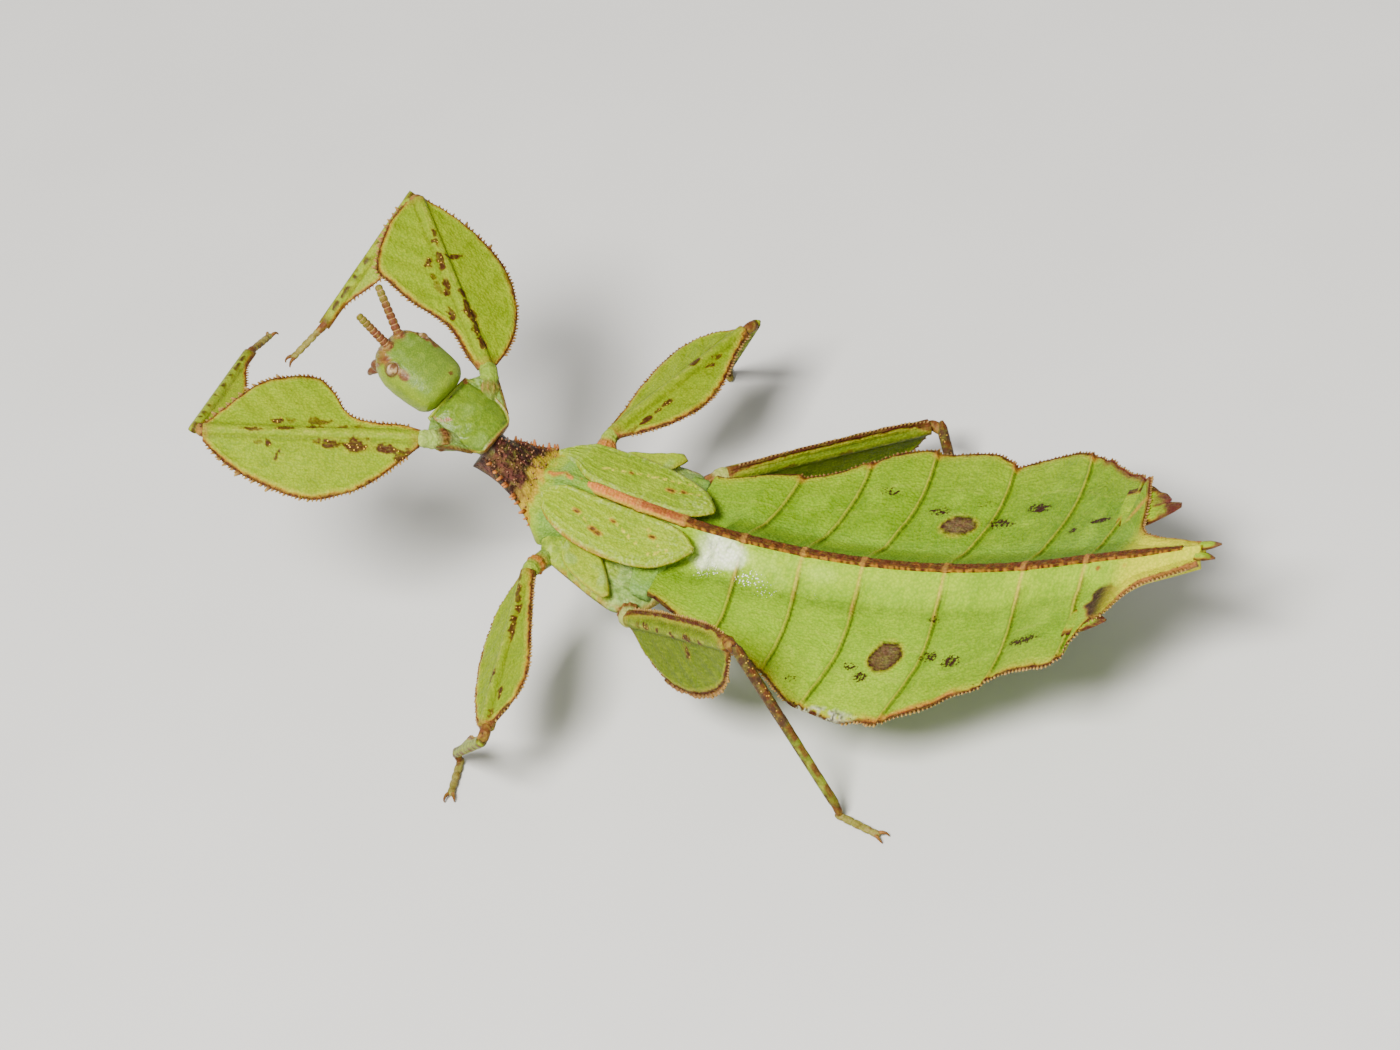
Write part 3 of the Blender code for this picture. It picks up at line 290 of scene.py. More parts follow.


# %% [markdown]
# ## The skin material
#
# A leaf insect's skin is a thin, slightly waxy hide over living tissue. It is
# covered in grains of about a fifth of a millimetre, it shines softly, and
# light sinks into it a little. The painted colour gives the large marks. Over
# it, noise shifts the hue, cells darken the seams between the grains, and
# thresholds turn the three fleck masks into crisp specks: dark ones, pale ones
# and white glints that are painted highlights. One recipe with a few numbers
# serves all parts, so that they look like one animal.

# %% Build the skin material
def skin_material(name, roughness, grain_size, bump, sink=0.12, streak=(1.0, 1.0, 1.0), shine=0.08):
    """Painted, grained and flecked skin. Sizes are in millimetres."""
    material = bpy.data.materials.new(name)
    material.use_nodes = True
    tree = material.node_tree
    shader = tree.nodes["Principled BSDF"]

    def node(kind, **settings):
        made = tree.nodes.new(kind)
        for key, value in settings.items():
            setattr(made, key, value)
        return made

    def link(source, target):
        tree.links.new(source, target)

    place = node("ShaderNodeTexCoord")
    scale = node("ShaderNodeMapping")
    scale.inputs["Scale"].default_value = (1000.0, 1000.0, 1000.0)
    link(place.outputs["Object"], scale.inputs["Vector"])
    painted = node("ShaderNodeAttribute", attribute_name="paint")
    marked = node("ShaderNodeAttribute", attribute_name="marks")
    way = node("ShaderNodeAttribute", attribute_name="way")
    split = node("ShaderNodeSeparateColor")
    link(marked.outputs["Color"], split.inputs["Color"])

    def noise(size, detail, vector=None):
        made = node("ShaderNodeTexNoise")
        made.inputs["Scale"].default_value = 1.0 / size
        made.inputs["Detail"].default_value = detail
        made.inputs["Roughness"].default_value = 0.6
        link(vector or scale.outputs["Vector"], made.inputs["Vector"])
        return made.outputs["Fac"]

    def sums(kind, a, b):
        made = node("ShaderNodeMath", operation=kind)
        for socket, value in zip(made.inputs, (a, b)):
            if isinstance(value, (int, float)):
                socket.default_value = value
            else:
                link(value, socket)
        return made.outputs["Value"]

    def remap(value, low, high, out_low=0.0, out_high=1.0):
        made = node("ShaderNodeMapRange", interpolation_type="SMOOTHSTEP")
        link(value, made.inputs["Value"])
        for key, number in (("From Min", low), ("From Max", high), ("To Min", out_low), ("To Max", out_high)):
            if isinstance(number, (int, float)):
                made.inputs[key].default_value = number
            else:
                link(number, made.inputs[key])
        return made.outputs["Result"]

    def mix(mask, under, over, blend="MIX"):
        made = node("ShaderNodeMix", data_type="RGBA", blend_type=blend)
        link(mask, made.inputs[0])
        for socket, value in ((made.inputs[6], under), (made.inputs[7], over)):
            if isinstance(value, tuple):
                socket.default_value = (*value, 1.0)
            else:
                link(value, socket)
        return made.outputs[2]

    def cells(size):
        made = node("ShaderNodeTexVoronoi")
        made.inputs["Scale"].default_value = 1.0 / size
        link(scale.outputs["Vector"], made.inputs["Vector"])
        return made.outputs["Distance"]

    def dots(spacing, share, widest, least, full):
        size = sums("MULTIPLY", share, widest)
        spot = remap(cells(spacing), size, sums("SUBTRACT", size, 0.08))
        return sums("MULTIPLY", spot, remap(share, least, full))

    grains = cells(grain_size)
    streaks = node("ShaderNodeMapping")
    streaks.inputs["Scale"].default_value = streak
    link(way.outputs["Vector"], streaks.inputs["Vector"])
    broad = noise(1.7, 3.0)
    fine = noise(0.16, 4.0)
    lined = noise(0.5, 3.0, streaks.outputs["Vector"])

    patches = remap(broad, 0.35, 0.7, 0.0, 0.45)
    colour = mix(patches, painted.outputs["Color"], (0.66, 0.8, 0.3), "MULTIPLY")
    colour = mix(remap(lined, 0.42, 0.75, 0.0, 0.2), colour, (0.4, 0.46, 0.02), "SCREEN")
    seams = remap(grains, 0.1, 0.8, 0.0, 0.6)
    colour = mix(seams, colour, (0.5, 0.64, 0.3), "MULTIPLY")
    speck_noise = noise(0.22, 3.0)
    dark_edge = sums("SUBTRACT", 0.86, sums("MULTIPLY", split.outputs["Red"], 0.62))
    dark = remap(speck_noise, dark_edge, sums("ADD", dark_edge, 0.05))
    colour = mix(dark, colour, (0.03, 0.009, 0.004))
    pale = dots(0.26, split.outputs["Green"], 0.42, 0.02, 0.12)
    colour = mix(pale, colour, (0.7, 0.44, 0.05))
    # painted highlights: the glint mask becomes white dots that stand in for glints of light
    glint = dots(0.17, marked.outputs["Alpha"], 0.4, 0.03, 0.15)
    colour = mix(glint, colour, (0.92, 0.95, 0.72))
    link(colour, shader.inputs["Base Color"])

    rough = remap(fine, 0.3, 0.75, roughness - 0.08, roughness + 0.14)
    link(rough, shader.inputs["Roughness"])
    relief = sums("ADD", sums("MULTIPLY", grains, -0.55), sums("MULTIPLY", fine, 0.7))
    relief = sums("ADD", relief, sums("MULTIPLY", lined, 0.55))
    relief = sums("ADD", relief, sums("MULTIPLY", dark, -0.35))
    relief = sums("ADD", relief, sums("MULTIPLY", glint, 0.5))
    relief = sums("MULTIPLY", relief, sums("ADD", 0.25, sums("MULTIPLY", split.outputs["Blue"], 1.5)))
    raised = node("ShaderNodeBump")
    raised.inputs["Strength"].default_value = 1.0
    raised.inputs["Distance"].default_value = bump * MM
    link(relief, raised.inputs["Height"])
    link(raised.outputs["Normal"], shader.inputs["Normal"])
    shader.inputs["Subsurface Weight"].default_value = sink
    shader.inputs["Subsurface Radius"].default_value = (0.6, 0.8, 0.15)
    shader.inputs["Subsurface Scale"].default_value = 0.0006
    shader.inputs["Specular IOR Level"].default_value = shine
    return material


leaf_skin = skin_material("leaf skin", 0.44, 0.2, 0.075, streak=(0.8, 3.0, 1.0))
blade_skin = skin_material("blade skin", 0.46, 0.17, 0.06, streak=(0.7, 3.0, 1.0))
pad_skin = skin_material("wing pad skin", 0.4, 0.16, 0.055, streak=(0.9, 2.4, 1.0), shine=0.12)
shield_skin = skin_material("shield skin", 0.34, 0.14, 0.03, sink=0.2, streak=(1.5, 1.5, 1.0), shine=0.22)
crown_skin = skin_material("head skin", 0.38, 0.11, 0.024, sink=0.15, streak=(1.0, 1.0, 1.0), shine=0.22)
collar_skin = skin_material("collar skin", 0.44, 0.16, 0.09, sink=0.05)
feeler_skin = skin_material("feeler skin", 0.4, 0.1, 0.02, sink=0.1)
shin_skin = skin_material("shin skin", 0.44, 0.14, 0.035)
print("finishes:", len(bpy.data.materials))

# %% [markdown]
# ## The abdomen
#
# The real abdomen is a stack of seven segments pressed flat, with a ridged
# roof in the middle and blades of skin at the sides. One closed leaf grid
# covers it from under the wing pads to the tail. The grid is denser on the
# roof. Each border between two segments is a raised line with a furrow behind
# it, and the margin bulges a little between the borders.

# %% Outline of the abdomen
ABDOMEN_FRONT = 12.9
ABDOMEN_REAR = -23.7
SEGMENT_LINES = (8.3, 4.2, 0.0, -5.8, -11.4, -15.9)
RIGHT_MARGIN = (              # station along the body, half width
    (12.9, 5.6), (11.9, 6.0), (10.2, 6.9), (8.6, 7.5), (8.1, 7.45), (6.4, 8.5), (4.6, 9.8), (4.1, 9.95),
    (2.9, 10.9), (0.9, 11.85), (0.15, 12.0), (-0.5, 11.75), (-2.6, 11.95), (-4.3, 11.9), (-5.4, 11.4),
    (-6.05, 10.95), (-6.9, 11.35), (-8.4, 11.75), (-10.1, 11.9), (-11.4, 11.55), (-11.9, 11.15),
    (-12.7, 10.8), (-13.9, 9.8), (-14.8, 9.0), (-15.5, 8.7), (-16.8, 8.2), (-17.2, 7.6), (-17.9, 5.4),
    (-18.4, 3.2), (-19.8, 2.15), (-21.3, 1.75), (-22.6, 1.15), (-23.7, 0.8),
)
LEFT_MARGIN = (
    (12.9, 5.8), (8.3, 7.7), (4.2, 9.2), (2.2, 10.6), (0.6, 11.6), (-0.8, 11.95), (-3.2, 12.45),
    (-4.2, 12.2), (-5.5, 12.5), (-6.4, 12.0), (-7.8, 11.2), (-8.5, 10.8), (-9.5, 9.8), (-11.1, 9.3),
    (-11.6, 8.6), (-13.5, 8.2), (-15.6, 8.1), (-16.3, 7.2), (-16.9, 6.4), (-17.4, 5.2), (-18.5, 4.2),
    (-19.1, 3.2), (-20.0, 2.3), (-21.1, 1.9), (-22.6, 1.4), (-23.7, 1.0),
)
CORE_HALF = 2.6               # half width of the roof
CORE_RISE = 1.3              # ridge above the blades
ROOF = ((0.0, 0.0), (0.13, 0.12), (0.3, 0.26), (0.62, 0.62), (1.0, 1.0), (1.3, 1.12),
        (1.62, 1.15), (1.9, 1.12), (2.0, 1.1))
SUNK = ((0.0, 0.0), (0.13, 0.0), (0.3, 1.3), (0.62, 1.05), (1.0, 0.55), (1.3, 0.35),
        (1.62, 0.15), (1.9, 0.0), (2.0, 0.0))
BELLY = ((0.0, 3.7, 0.0), (0.13, 3.66, 0.0), (0.3, 3.5, 0.0), (0.62, 3.0, 0.0), (1.0, 1.3, 1.05),
         (1.3, 1.456, 0.72), (1.62, 1.495, 0.5), (1.9, 1.456, 0.34), (2.0, 1.43, 0.2))


def segment_share(x):
    """How far a place is between its two segment lines, 0 at the front one."""
    borders = np.array(sorted((ABDOMEN_FRONT, ABDOMEN_REAR) + SEGMENT_LINES))
    k = np.clip(np.searchsorted(borders, x) - 1, 0, len(borders) - 2)
    return np.clip((borders[k + 1] - x) / (borders[k + 1] - borders[k]), 0.0, 1.0)


def half_width(x, side):
    """Half width of the abdomen; the tables hold its scallops."""
    return np.where(side > 0, eased(LEFT_MARGIN, x), eased(RIGHT_MARGIN, x))


def tail_taper(x):
    """The roof thins out towards the tip of the tail."""
    return np.clip(1.0 - (-9.0 - x) / 15.0 * 0.72, 0.28, 1.0)


def line_distance(x):
    """Signed distance to the nearest segment line, positive ahead of it."""
    gaps = np.array([x - line for line in SEGMENT_LINES])
    nearest = np.abs(gaps).argmin(axis=0)
    return np.take_along_axis(gaps, nearest[None, :], axis=0)[0]


print("half width at the widest:", half_width(-5.5, 1.0), "left,", half_width(0.15, -1.0), "right")

# %% Shape of the abdomen
ROOF_COLUMNS = 0.36           # share of the columns that cover the roof
FRONT_LAP = 0.45              # the skin reaches this far in under the wing pads
REAR_LAP = 0.1


def both_sides(v):
    """Which half a column lies on, -1 or 1, and its reach out to the rim, 0 to 1."""
    reach = 2.0 * v - 1.0
    return np.where(reach < 0, -1.0, 1.0), np.abs(reach)


def abdomen_shape(t, v, face):
    """Unit points to the abdomen's two faces."""
    start = ABDOMEN_FRONT + FRONT_LAP
    s = start - t * (start - ABDOMEN_REAR + REAR_LAP)
    side, reach = both_sides(v)
    inner = np.clip(reach / ROOF_COLUMNS, 0.0, 1.0)
    outer = 1.0 - np.clip((1.0 - reach) / (1.0 - ROOF_COLUMNS), 0.0, 1.0) ** 1.5
    q = inner + outer
    taper = tail_taper(s)
    edge = half_width(s, side)
    worn = step_up(-s, 11.5, 12.5) * step_down(-s, 17.0, 17.8) * (side < 0)
    edge = edge + 0.22 * cloud(s, side * 3.0, 0.5, 5) * worn
    core = np.minimum(CORE_HALF * (0.45 + 0.55 * taper), edge * 0.55)
    y = core * inner + (edge - core) * outer
    near = line_distance(s)
    lines = ridge_of(near, 0.1) * 0.14 - ridge_of(near + 0.27, 0.15) * 0.08
    lines *= 0.35 + 0.65 * step_up(q, 0.1, 0.6)
    pads = np.clip((s - 9.9) / 1.0, 0.0, 1.0)
    drop = CORE_RISE * taper * eased(ROOF, q) + eased(SUNK, q) * pads
    wave = 0.1 * np.sin(s * 0.9 + side) * (q / 2.0) ** 2
    veins = ridge_of(outer - 0.86, 0.022) * 0.035 + ridge_of(outer - 0.6, 0.018) * 0.018
    dents = 0.05 * cloud(s, side * y, 1.4, 3) + 0.022 * cloud(s, side * y, 0.45, 4)
    swell = 0.15 * np.sin(math.pi * segment_share(s)) * np.sin(math.pi * np.clip(outer, 0, 1))
    fold = step_up(q, 1.93, 2.0) * 0.12
    upper = back(s) - drop + wave + lines + veins + dents * step_up(q, 0.15, 0.4) + swell - fold
    lower = back(s) - eased(BELLY, q, 1) * taper - eased(BELLY, q, 2) + wave
    lower += lines * 0.5 * step_up(q, 1.1, 1.5)
    far = np.maximum(0.0, y - CORE_HALF)
    bow = 0.56 * np.sin(math.pi * np.minimum(1.0, far / 9.0)) * step_up(s, -16.9, -16.1)
    z = np.where(face > 0.5, upper, lower)
    spots = points_of(s - bow, side * y, z)
    way = points_of(s, side * outer * 6.0, face)
    return spots, {"way": way, "q": q, "side": side, "edge": edge, "outer": outer, "near": near}


# %% [markdown]
# The paint follows what the portrait shows from the ridge outwards: a bright
# strip beside the roof, lime blades that turn yellow towards a red-brown rim,
# olive lines at the segment borders with a dark furrow behind each, a pair of
# round spots on the fourth segment, and clusters of black specks.
# In this paint the light band beside the ridge with its highlights, and the white patch with its glints, are
# painted light; the dark band beyond the light one and the dark roof right of the ridge are painted shade,
# and the left blade is painted lighter than the right.

# %% Marks of the abdomen, and what the brushes need to know
EYE_SPOTS = (                 # place and half sizes
    ((-4.25, -5.08), (1.12, 0.8)),
    ((-3.95, 6.72), (1.0, 1.2)),
)
SPECKS = (                    # place, half sizes and strength of the clusters of black specks
    ((-2.4, -6.3), (1.0, 0.5), 0.5),
    ((-7.0, -5.6), (1.3, 0.5), 0.6),
    ((-9.3, -6.9), (1.0, 0.45), 0.85),
    ((-12.9, -4.2), (0.5, 0.25), 0.7),
    ((-14.6, -4.8), (1.0, 0.35), 0.8),
    ((1.4, -7.5), (1.1, 0.5), 0.4),
    ((-5.3, -7.3), (0.8, 0.4), 0.3),
    ((-13.6, -8.0), (1.5, 1.0), 0.3),
    ((-1.9, 7.8), (0.7, 0.45), 0.55),
    ((-2.9, 8.6), (0.6, 0.5), 0.6),
    ((-6.9, 6.5), (0.8, 0.5), 0.65),
    ((-8.6, 6.9), (0.8, 0.7), 0.6),
    ((-13.4, 5.7), (1.2, 0.45), 0.65),
    ((1.5, 9.5), (0.5, 0.4), 0.4),
    ((-6.0, 3.4), (0.8, 0.4), 0.3),
)
GLINTS = (                    # the same for the painted glints: white dots left of the ridge
    ((10.3, 2.3), (1.3, 0.55), 0.9),
    ((7.2, 2.4), (1.1, 0.6), 1.0),
    ((6.0, 2.9), (0.9, 0.7), 0.6),
    ((3.2, 2.6), (0.9, 0.6), 0.35),
)


def pick(facts, names):
    """Several facts at once, by the names in one line of text."""
    return [facts[name] for name in names.split()]


def abdomen_facts(spots, facts):
    """The facts of the shape, with the places and the noise that its brushes use."""
    x, y = spots[:, 0], spots[:, 1]
    rough, fine = cloud(x, y, 0.5, 11), cloud(x, y, 0.28, 13)
    margin = facts["edge"] - np.abs(y) + 0.08 * rough + 0.05 * fine
    return {**facts, "x": x, "y": y, "away": np.abs(y), "left": (facts["side"] > 0) * 1.0,
            "rough": rough, "fine": fine, "soft": cloud(x, y, 2.6, 12), "margin": margin}


print("round spots:", len(EYE_SPOTS), "speck clusters:", len(SPECKS), "of white dots:", len(GLINTS))


# %% Ground colours and segment lines
def paint_ground(coat, at):
    """Lime blades with painted light and shade: the left blade lighter, a lit band with painted highlights
    beside the ridge, a band of painted shade beyond it, and painted shade on the roof right of the ridge.
    """
    x, y, away, left, rough, soft, outer = pick(at, "x y away left rough soft outer")
    # painted light and shade: the left blade, which faces the light, is painted lighter, the right blade
    # darker, most towards the rear
    coat.lay(left * 0.55, LIME_BRIGHT)
    coat.lay((1.0 - left) * (0.5 + 0.45 * step_up(-x, 6.0, 13.0)), LIME_DEEP)
    coat.lay(left * step_up(-x, 3.0, 11.0) * 0.5, LIME_DEEP)
    coat.lay((0.5 + 0.5 * soft) * 0.4, LIME_DEEP)
    coat.lay(step_up(cloud(x, y, 1.1, 14), 0.1, 0.9) * 0.35, LIME_BRIGHT)
    # painted light: a lit band left of the ridge, with painted highlights in it
    lit_strip = step_down(away, 1.9, 3.0) * left
    coat.lay(lit_strip * 0.5, (0.32, 0.47, 0.01))
    ridge_highlight = lit_strip * step_down(away, 1.0, 2.3) * step_up(cloud(x, y, 0.9, 17), -0.5, 0.5)
    coat.lay(ridge_highlight * 0.32, (0.46, 0.6, 0.012))
    coat.lay(lit_strip * step_up(x, 2.0, 9.0) * step_up(rough, -0.4, 0.6) * 0.35, (0.6, 0.74, 0.14))
    # painted shade: a dark band where the roof turns into the left blade
    shade_band = ridge_of(away - 2.95 - 0.15 * soft, 0.6) * left * step_up(x, -15.0, -2.0)
    coat.lay(shade_band * (0.5 + 0.25 * rough), (0.11, 0.2, 0.01))
    # painted shade: the right flank of the roof, which faces away from the light, is painted dark
    shaded_trough = step_down(away, 0.6, 2.2) * (1.0 - left)
    coat.lay(shaded_trough * 0.65, (0.075, 0.155, 0.012))
    coat.lay(ridge_of(away - 2.7, 0.7) * (1.0 - left) * 0.25, (0.2, 0.34, 0.05))
    coat.lay(step_up(outer, 0.45, 1.0) * 0.3, YELLOW_GREEN)
    arcs = ridge_of(outer - 0.62 - 0.03 * rough, 0.012) + ridge_of(outer - 0.36 - 0.05 * soft, 0.01)
    coat.lay(arcs * 0.35, (0.36, 0.42, 0.05))


def paint_segment_lines(coat, at):
    """An olive line at each border, dark behind it, with a broad inner end."""
    q, near, away, left, rough = pick(at, "q near away left rough")
    lines = ridge_of(near - 0.02, 0.065) * step_up(q, 0.25, 0.7)
    coat.lay(ridge_of(near + 0.45, 0.4) * step_up(q, 0.4, 0.9) * 0.28, LIME_DEEP)
    coat.lay(ridge_of(near + 0.14, 0.085) * step_up(q, 0.4, 0.8) * 0.95, VEIN_DARK)
    coat.lay(ridge_of(near - 0.17, 0.08) * step_up(q, 0.5, 0.9) * 0.35, VEIN_DARK)
    coat.lay(lines * 0.95, OLIVE_LINE)
    inner_end = step_down(away, 1.4, 3.4) * step_up(away, 0.2, 0.4)
    wide = ridge_of(near - 0.02, 0.12)
    coat.lay(wide * inner_end * 0.85 * left, (0.62, 0.44, 0.07))
    coat.lay(wide * inner_end * 0.5 * (1.0 - left), (0.3, 0.26, 0.04))
    lower_inner = ridge_of(near - 0.02, 0.13) * ridge_of(away - 3.1, 0.7) * left
    coat.lay(lower_inner * step_up(rough, -0.3, 0.3) * 0.7, (0.4, 0.17, 0.04))


# %% Rim of the abdomen
def paint_rim(coat, at):
    """Yellow, orange and brown from the inside out, redder towards the rear."""
    x, y, near, left, rough, fine, margin = pick(at, "x y near left rough fine margin")
    coat.lay(step_down(margin, 0.25, 0.85) * 0.5, (0.42, 0.36, 0.02))
    coat.lay(step_down(margin, 0.16, 0.34) * 0.7, RIM_ORANGE)
    coat.lay(step_down(margin, 0.12, 0.24), RIM_BROWN)
    nodes = ridge_of(near + 0.05, 0.3) * step_down(margin, 0.25, 0.95) * (x > -12.5)
    coat.lay(nodes * 0.9 * (1.0 - left), (0.5, 0.18, 0.02))
    coat.lay(ridge_of(near + 0.05, 0.2) * step_down(margin, 0.12, 0.6) * (1.0 - left), RIM_BROWN)
    worn = oval(x, y, (-0.9, 12.0), (2.6, 0.55), 0.8)
    coat.lay(worn * step_up(fine + 0.4 * rough, -0.4, 0.3), (0.52, 0.5, 0.4))
    coat.lay(worn * step_up(fine, 0.35, 0.6), (0.05, 0.04, 0.03))
    rear_left = step_up(-x, 4.2, 5.0) * step_down(-x, 9.5, 10.5) * left
    coat.lay(rear_left * step_down(margin, 0.2, 0.75) * 0.8, (0.46, 0.12, 0.03))
    coat.lay(rear_left * step_down(margin, 0.08, 0.32), RIM_BROWN)
    rear_right = step_up(-x, 12.0, 13.0) * (1.0 - left)
    coat.lay(rear_right * step_down(margin, 0.25, 0.9) * 0.9, (0.15, 0.022, 0.022))


# %% Round spots, specks and the painted highlight patch
def wider(size, more):
    """The two half sizes of an oval, both made larger."""
    return size[0] + more, size[1] + more


def paint_eye_spots(coat, at):
    """A brown spot with a dark ring and a yellow halo on each side; gives their mask."""
    x, y, rough, fine = pick(at, "x y rough fine")
    ragged = 0.1 * rough + 0.05 * fine
    for place, size in EYE_SPOTS:
        coat.lay(oval(x + ragged, y, place, wider(size, 0.22), 0.25) * 0.65, (0.44, 0.3, 0.02))
        coat.lay(oval(x + ragged, y, place, wider(size, 0.08), 0.1), (0.045, 0.008, 0.005))
        coat.lay(oval(x + ragged, y, place, wider(size, -0.17), 0.16), EYE_SPOT)
        streaked = cloud(x * 0.6 + y, y * 0.6 - x, 0.33, 16)
        core = oval(x, y + ragged, place, (size[0] * 0.75, size[1] * 0.75), 0.5)
        coat.lay(core * step_up(streaked, 0.1, 0.7) * 0.35, (0.13, 0.12, 0.05))
        coat.lay(core * step_up(-streaked, 0.2, 0.7) * 0.6, (0.15, 0.055, 0.04))
    inside = sum(oval(x, y, place, wider(size, 0.2), 0.2) for place, size in EYE_SPOTS)
    coat.fleck(inside, dark=0.0, grain=1.0)
    return inside


def paint_specks(coat, at, inside):
    """Clusters of black specks, kept off the round spots."""
    x, y = pick(at, "x y")
    for place, size, strength in SPECKS:
        here = oval(x, y, place, size, 1.3)
        coat.lay(here * 0.35 * strength, VEIN_DARK)
        coat.fleck(here * (1.0 - inside), dark=0.42 + 0.44 * strength)


def paint_highlight_patch(coat, at):
    """A painted highlight: white left of the front of the ridge, with painted glints, white dots, beside and
    behind it.
    """
    x, y, rough = pick(at, "x y rough")
    # painted highlight: a white patch with grey mottle at the front of the ridge, and paler green patches
    # behind it
    white = oval(x + 0.3 * rough, y, (9.9, 1.2), (1.85, 0.95), 0.5)
    coat.lay(white, (0.94, 0.95, 0.74))
    coat.lay(white * step_up(cloud(x, y, 0.22, 15), 0.45, 0.7) * 0.6, (0.3, 0.32, 0.24))
    next_highlight = oval(x, y, (7.0, 1.15), (1.0, 0.55), 1.0) + oval(x, y, (2.6, 1.2), (1.0, 0.5), 1.0)
    coat.lay(next_highlight * 0.25, (0.62, 0.78, 0.12))
    coat.fleck(white, dark=0.0, grain=0.3)
    # painted glints: white dots beside and behind the painted highlight
    for place, size, strength in GLINTS:
        coat.fleck(oval(x, y, place, size, 1.2), glint=strength)


# %% The tail, and the whole coat
def paint_tail(coat, at):
    """A dark blot and a slit before the tail, and a yellow tail with a reddish rim."""
    x, y, away, left, rough, margin = pick(at, "x y away left rough margin")
    coat.lay(oval(x + 0.3 * rough, y, (-18.0, 3.35), (0.95, 1.25), 0.35), (0.34, 0.1, 0.03))
    coat.lay(oval(x + 0.3 * rough, y, (-18.05, 3.2), (0.95, 1.35), 0.3), (0.034, 0.006, 0.014))
    coat.lay(oval(x, y, (-16.9, 0.75), (0.16, 0.14), 0.6) + oval(x, y, (-18.8, 0.8), (0.16, 0.14), 0.6),
             (0.3, 0.1, 0.02))
    slit = ridge_of((x + 17.35) * 0.93 - (y + 5.2) * 0.36, 0.16) * ridge_of(y + 5.2, 0.95)
    coat.lay(slit, (0.6, 0.24, 0.03))
    tail = step_up(-x, 17.5, 19.5)
    coat.lay(tail * 0.85, (0.66, 0.58, 0.012))
    coat.lay(tail * step_down(margin, 0.08, 0.3) * 0.9, (0.3, 0.07, 0.04))
    coat.fleck(step_down(margin, 0.2, 0.9), dark=0.4, grain=0.9)
    coat.fleck((1.0 - left) * step_up(-x, 11.5, 13.5) * step_up(away, 4.5, 6.5), dark=0.3)


def abdomen_paint(spots, facts, t, v, face):
    """All the colours of the abdomen, from the ground up."""
    at = abdomen_facts(spots, facts)
    coat = Paint(len(spots), LIME, 0.06, 0.0, 0.6)
    paint_ground(coat, at)
    paint_segment_lines(coat, at)
    paint_rim(coat, at)
    inside = paint_eye_spots(coat, at)
    paint_specks(coat, at, inside)
    paint_highlight_patch(coat, at)
    paint_tail(coat, at)
    return coat


abdomen = settle("skin_abdomen", leaf_grid(396, 120), abdomen_shape, abdomen_paint, leaf_skin, ("abdomen",))
print("abdomen:", len(abdomen.data.polygons), "faces")

# %% [markdown]
# ## Lobes and tail leaves
#
# Beside the root of the tail small pointed lobes stand out, two on the right
# and one on the left, and at the very tip sit two tiny leaves. All five are
# the same idea, a short leaf on a line from its root to its tip, so one
# function makes them.

# %% Small pointed leaves
def pointed_leaf(root, tip, widths, thick, lift, follow=False):
    """Shape of a small leaf that lies on the line from root to tip."""
    root, tip = np.array(root, dtype=float), np.array(tip, dtype=float)
    along = tip - root
    across = np.array((-along[1], along[0], 0.0))
    across /= np.linalg.norm(across)

    def shape(t, v, face):
        reach = 2.0 * v - 1.0
        width = eased(widths, t)
        spots = root + np.outer(t, along) + np.outer(width * reach, across)
        half = thick * (1.0 - 0.85 * np.abs(reach) ** 2.5) * (1.0 - 0.6 * t)
        line = back(spots[:, 0]) - back(root[0]) if follow else 0.0
        spots[:, 2] += lift + line + np.where(face > 0.5, half, -half)
        spots[:, 2] += ridge_of(reach, 0.12) * 0.05 * (face > 0.5)
        way = points_of(t * np.linalg.norm(along), width * reach, face)
        return spots, {"way": way, "reach": reach}

    return shape


def tail_paint(spots, facts, t, v, face):
    """Yellow-green with a dark red-brown rim and tip."""
    rough = cloud(spots[:, 0], spots[:, 1], 0.3, 21)
    coat = Paint(len(t), LIME, 0.15, 0.0, 0.7)
    coat.lay(0.4 + 0.4 * rough, YELLOW_GREEN)
    rim = np.abs(facts["reach"]) + 0.15 * rough
    coat.lay(step_up(rim, 0.5, 0.75) * 0.8, RIM_ORANGE)
    coat.lay(step_up(rim, 0.62, 0.85), RIM_BROWN)
    coat.lay(step_up(t + 0.1 * rough, 0.5, 0.85), (0.11, 0.02, 0.02))
    return coat


LOBES = (                     # root, tip, half widths
    ("right", (-15.9, -5.6, 0.0), (-19.3, -5.9, 0.0),
     ((0.0, 1.7), (0.45, 1.75), (0.7, 1.0), (0.85, 0.7), (1.0, 0.1))),
    ("right_inner", (-16.4, -4.3, 0.0), (-20.25, -5.3, 0.0),
     ((0.0, 1.3), (0.5, 1.0), (0.85, 0.55), (1.0, 0.25))),
    ("left", (-16.2, 4.6, 0.0), (-18.9, 4.75, 0.0), ((0.0, 1.2), (0.5, 0.85), (0.8, 0.45), (1.0, 0.08))),
)
for word, root, tip, widths in LOBES:
    height = float(back(root[0])) - 1.12 * CORE_RISE * float(tail_taper(-17.5)) - 0.26
    shape = pointed_leaf(root, tip, widths, 0.17, height, follow=True)
    settle("lobe_" + word, leaf_grid(40, 22), shape, tail_paint, leaf_skin)
for word, side in SIDES:
    root = (ABDOMEN_REAR + 0.1, side * 0.42, float(back(ABDOMEN_REAR)) - 0.45)
    tip = (ABDOMEN_REAR - 1.24, side * 0.62, root[2] + 0.18)
    shape = pointed_leaf(root, tip, ((0.0, 0.36), (0.35, 0.38), (0.7, 0.26), (1.0, 0.06)), 0.18, 0.0)
    settle("cercus_" + word, leaf_grid(26, 14), shape, tail_paint, leaf_skin, ("cercus_" + word,))
print("lobes:", len(LOBES), "and tail leaves:", len(SIDES))

